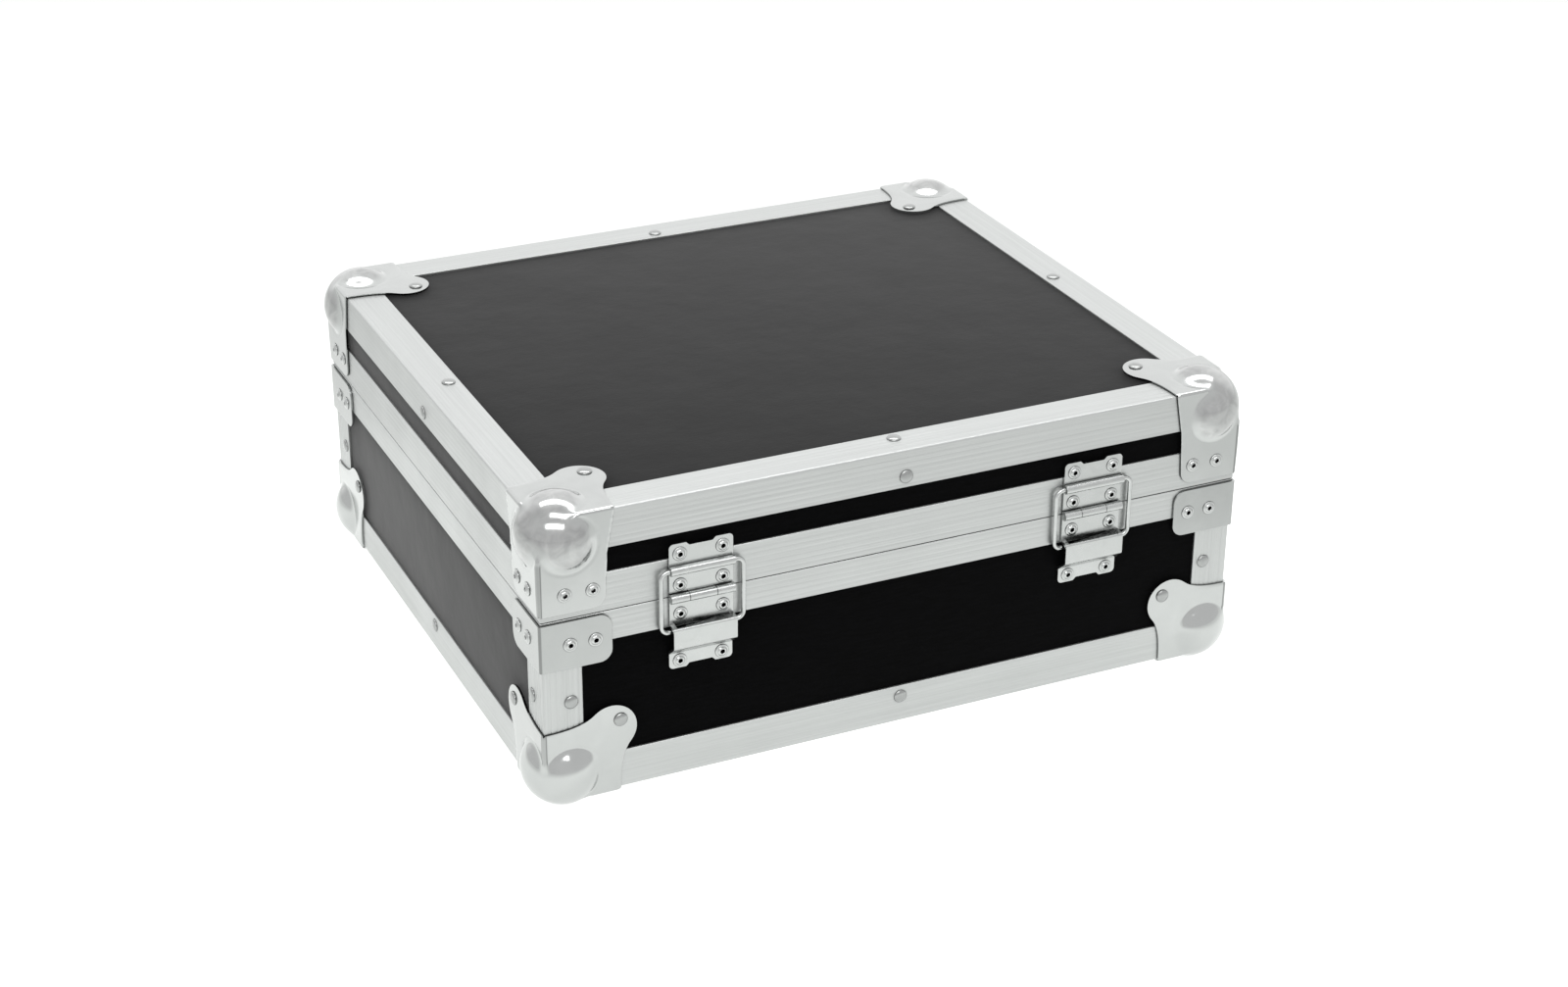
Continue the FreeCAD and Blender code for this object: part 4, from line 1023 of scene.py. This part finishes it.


# Studio: a white floor that glows, most strongly round the case, where the glow washes out the case's
# shadow, and that is darker and dimmer on the camera's side; a bright sweep behind the case, a dimmer room
# on the camera's side, three strip lights overhead
studio = {
    "floor": ("#9d9e9d", "#a1a2a1"), "floorSize": 14.0, "floorCells": 8, "cloud": 1.5,
    "nearGlow": 2.65, "farGlow": 1.47, "glowReach": (0.30, 0.56),
    "dimTable": "#969696", "tableEdge": (0.52, 0.95),
    "facing": (0.42, 0.907, 0.0), "sweep": 1.35, "room": 0.9, "sweepEdge": (0.30, 0.80),
    "sweepToward": (-0.38, -0.81, 0.44), "aim": 0.12,
    "strips": [
        {"toward": (-0.125, -0.27, 0.955), "away": 2.2, "size": (2.8, 0.6), "power": 21.0},
        {"toward": (-0.014, 0.462, 0.895), "away": 2.2, "size": (1.9, 0.42), "power": 10.0},
        {"toward": (0.333, 0.718, 0.612), "away": 2.2, "size": (1.7, 0.42), "power": 9.0},
    ],
}


def makeFloor():
    bm = bmesh.new()
    bmesh.ops.create_grid(bm, x_segments=studio["floorCells"], y_segments=studio["floorCells"],
                          size=studio["floorSize"] / 2)
    mesh = bpy.data.meshes.new("floor")
    bm.to_mesh(mesh)
    bm.free()
    floor = bpy.data.objects.new("floor", mesh)
    scene.collection.objects.link(floor)
    material, tree, shader, place = newMaterial("backlitAcrylicTable", Roughness=0.9, IOR=1.2)
    cloud = addNode(tree, "ShaderNodeTexNoise", {
        "Vector": place, "Scale": studio["cloud"], "Detail": 2.0}).outputs["Fac"]
    dark, pale = studio["floor"]
    colour = addNode(tree, "ShaderNodeMix", {
        "Factor": cloud, 6: fromHex(dark), 7: fromHex(pale)}, data_type="RGBA").outputs[2]
    side = addNode(tree, "ShaderNodeVectorMath", {0: place, 1: studio["facing"]}, operation="DOT_PRODUCT")
    away = addNode(tree, "ShaderNodeMapRange", {
        "Value": side.outputs["Value"], "From Min": studio["tableEdge"][0],
        "From Max": studio["tableEdge"][1]}, interpolation_type="SMOOTHSTEP").outputs[0]
    colour = addNode(tree, "ShaderNodeMix", {
        "Factor": away, 6: colour, 7: fromHex(studio["dimTable"])}, data_type="RGBA").outputs[2]
    reach = addNode(tree, "ShaderNodeVectorMath", {0: place}, operation="LENGTH").outputs["Value"]
    # the floor's glow is strongest round the case, washing out the case's shadow on it
    glow = addNode(tree, "ShaderNodeMapRange", {
        "Value": reach, "From Min": studio["glowReach"][0], "From Max": studio["glowReach"][1],
        "To Min": studio["nearGlow"], "To Max": studio["farGlow"]},
        interpolation_type="SMOOTHSTEP").outputs[0]
    tree.links.new(colour, shader.inputs["Base Color"])
    tree.links.new(colour, shader.inputs["Emission Color"])
    tree.links.new(glow, shader.inputs["Emission Strength"])
    mesh.materials.append(material)


def makeWorld():
    world = bpy.data.worlds.new("studioRoom")
    scene.world = world
    world.use_nodes = True
    tree = world.node_tree
    toward = addNode(tree, "ShaderNodeTexCoord").outputs["Generated"]
    side = addNode(tree, "ShaderNodeVectorMath", {
        0: toward, 1: studio["sweepToward"]}, operation="DOT_PRODUCT")
    level = addNode(tree, "ShaderNodeMapRange", {
        "Value": side.outputs["Value"],
        "From Min": studio["sweepEdge"][0], "From Max": studio["sweepEdge"][1],
        "To Min": studio["room"], "To Max": studio["sweep"]}, interpolation_type="SMOOTHSTEP")
    tree.links.new(level.outputs[0], tree.nodes["Background"].inputs["Strength"])
    tree.nodes["Background"].inputs["Color"].default_value = (1, 1, 1, 1)


def makeStrips():
    for i, strip in enumerate(studio["strips"]):
        data = bpy.data.lights.new(f"strip{i}", "AREA")
        data.shape = "RECTANGLE"
        data.size, data.size_y = strip["size"]
        data.energy = strip["power"]
        light = bpy.data.objects.new(f"strip{i}", data)
        scene.collection.objects.link(light)
        toward = Vector(strip["toward"]).normalized()
        light.location = Vector((0, 0, studio["aim"])) + toward * strip["away"]
        light.rotation_mode = "QUATERNION"
        right = Vector(studio["facing"]).cross(Vector((0, 0, 1))).normalized()
        up = toward.cross(right).normalized()
        light.rotation_quaternion = Matrix((right, up, toward)).transposed().to_quaternion()


# Camera fitted to rivets and edges in the photograph; pixels are of the 1600 x 1007 frame
photoCamera = {"place": (0.61838, 1.35930, 0.80150), "azimuth": 155.023, "elevation": 26.289, "roll": 0.367,
               "focalPixels": 2851.0, "frameWidth": 1600, "sensor": 36.0, "clip": (0.05, 60.0)}


def makeCamera():
    fit = photoCamera
    azimuth, elevation = math.radians(fit["azimuth"]), math.radians(fit["elevation"])
    back = Vector((math.sin(azimuth) * math.cos(elevation), -math.cos(azimuth) * math.cos(elevation),
                   math.sin(elevation)))
    right = Vector((0, 0, 1)).cross(back).normalized()
    up = back.cross(right)
    roll = math.radians(fit["roll"])
    rolled = (right * math.cos(roll) + up * math.sin(roll),
              up * math.cos(roll) - right * math.sin(roll), back)
    data = bpy.data.cameras.new("camera")
    data.sensor_width = fit["sensor"]
    data.lens = fit["focalPixels"] / fit["frameWidth"] * fit["sensor"]
    data.clip_start, data.clip_end = fit["clip"]
    camera = bpy.data.objects.new("camera", data)
    scene.collection.objects.link(camera)
    camera.matrix_world = Matrix.Translation(fit["place"]) @ Matrix(rolled).transposed().to_4x4()
    scene.camera = camera


makeFloor()
makeWorld()
makeStrips()
makeCamera()
scene.view_settings.view_transform = "Standard"
print("studio set")
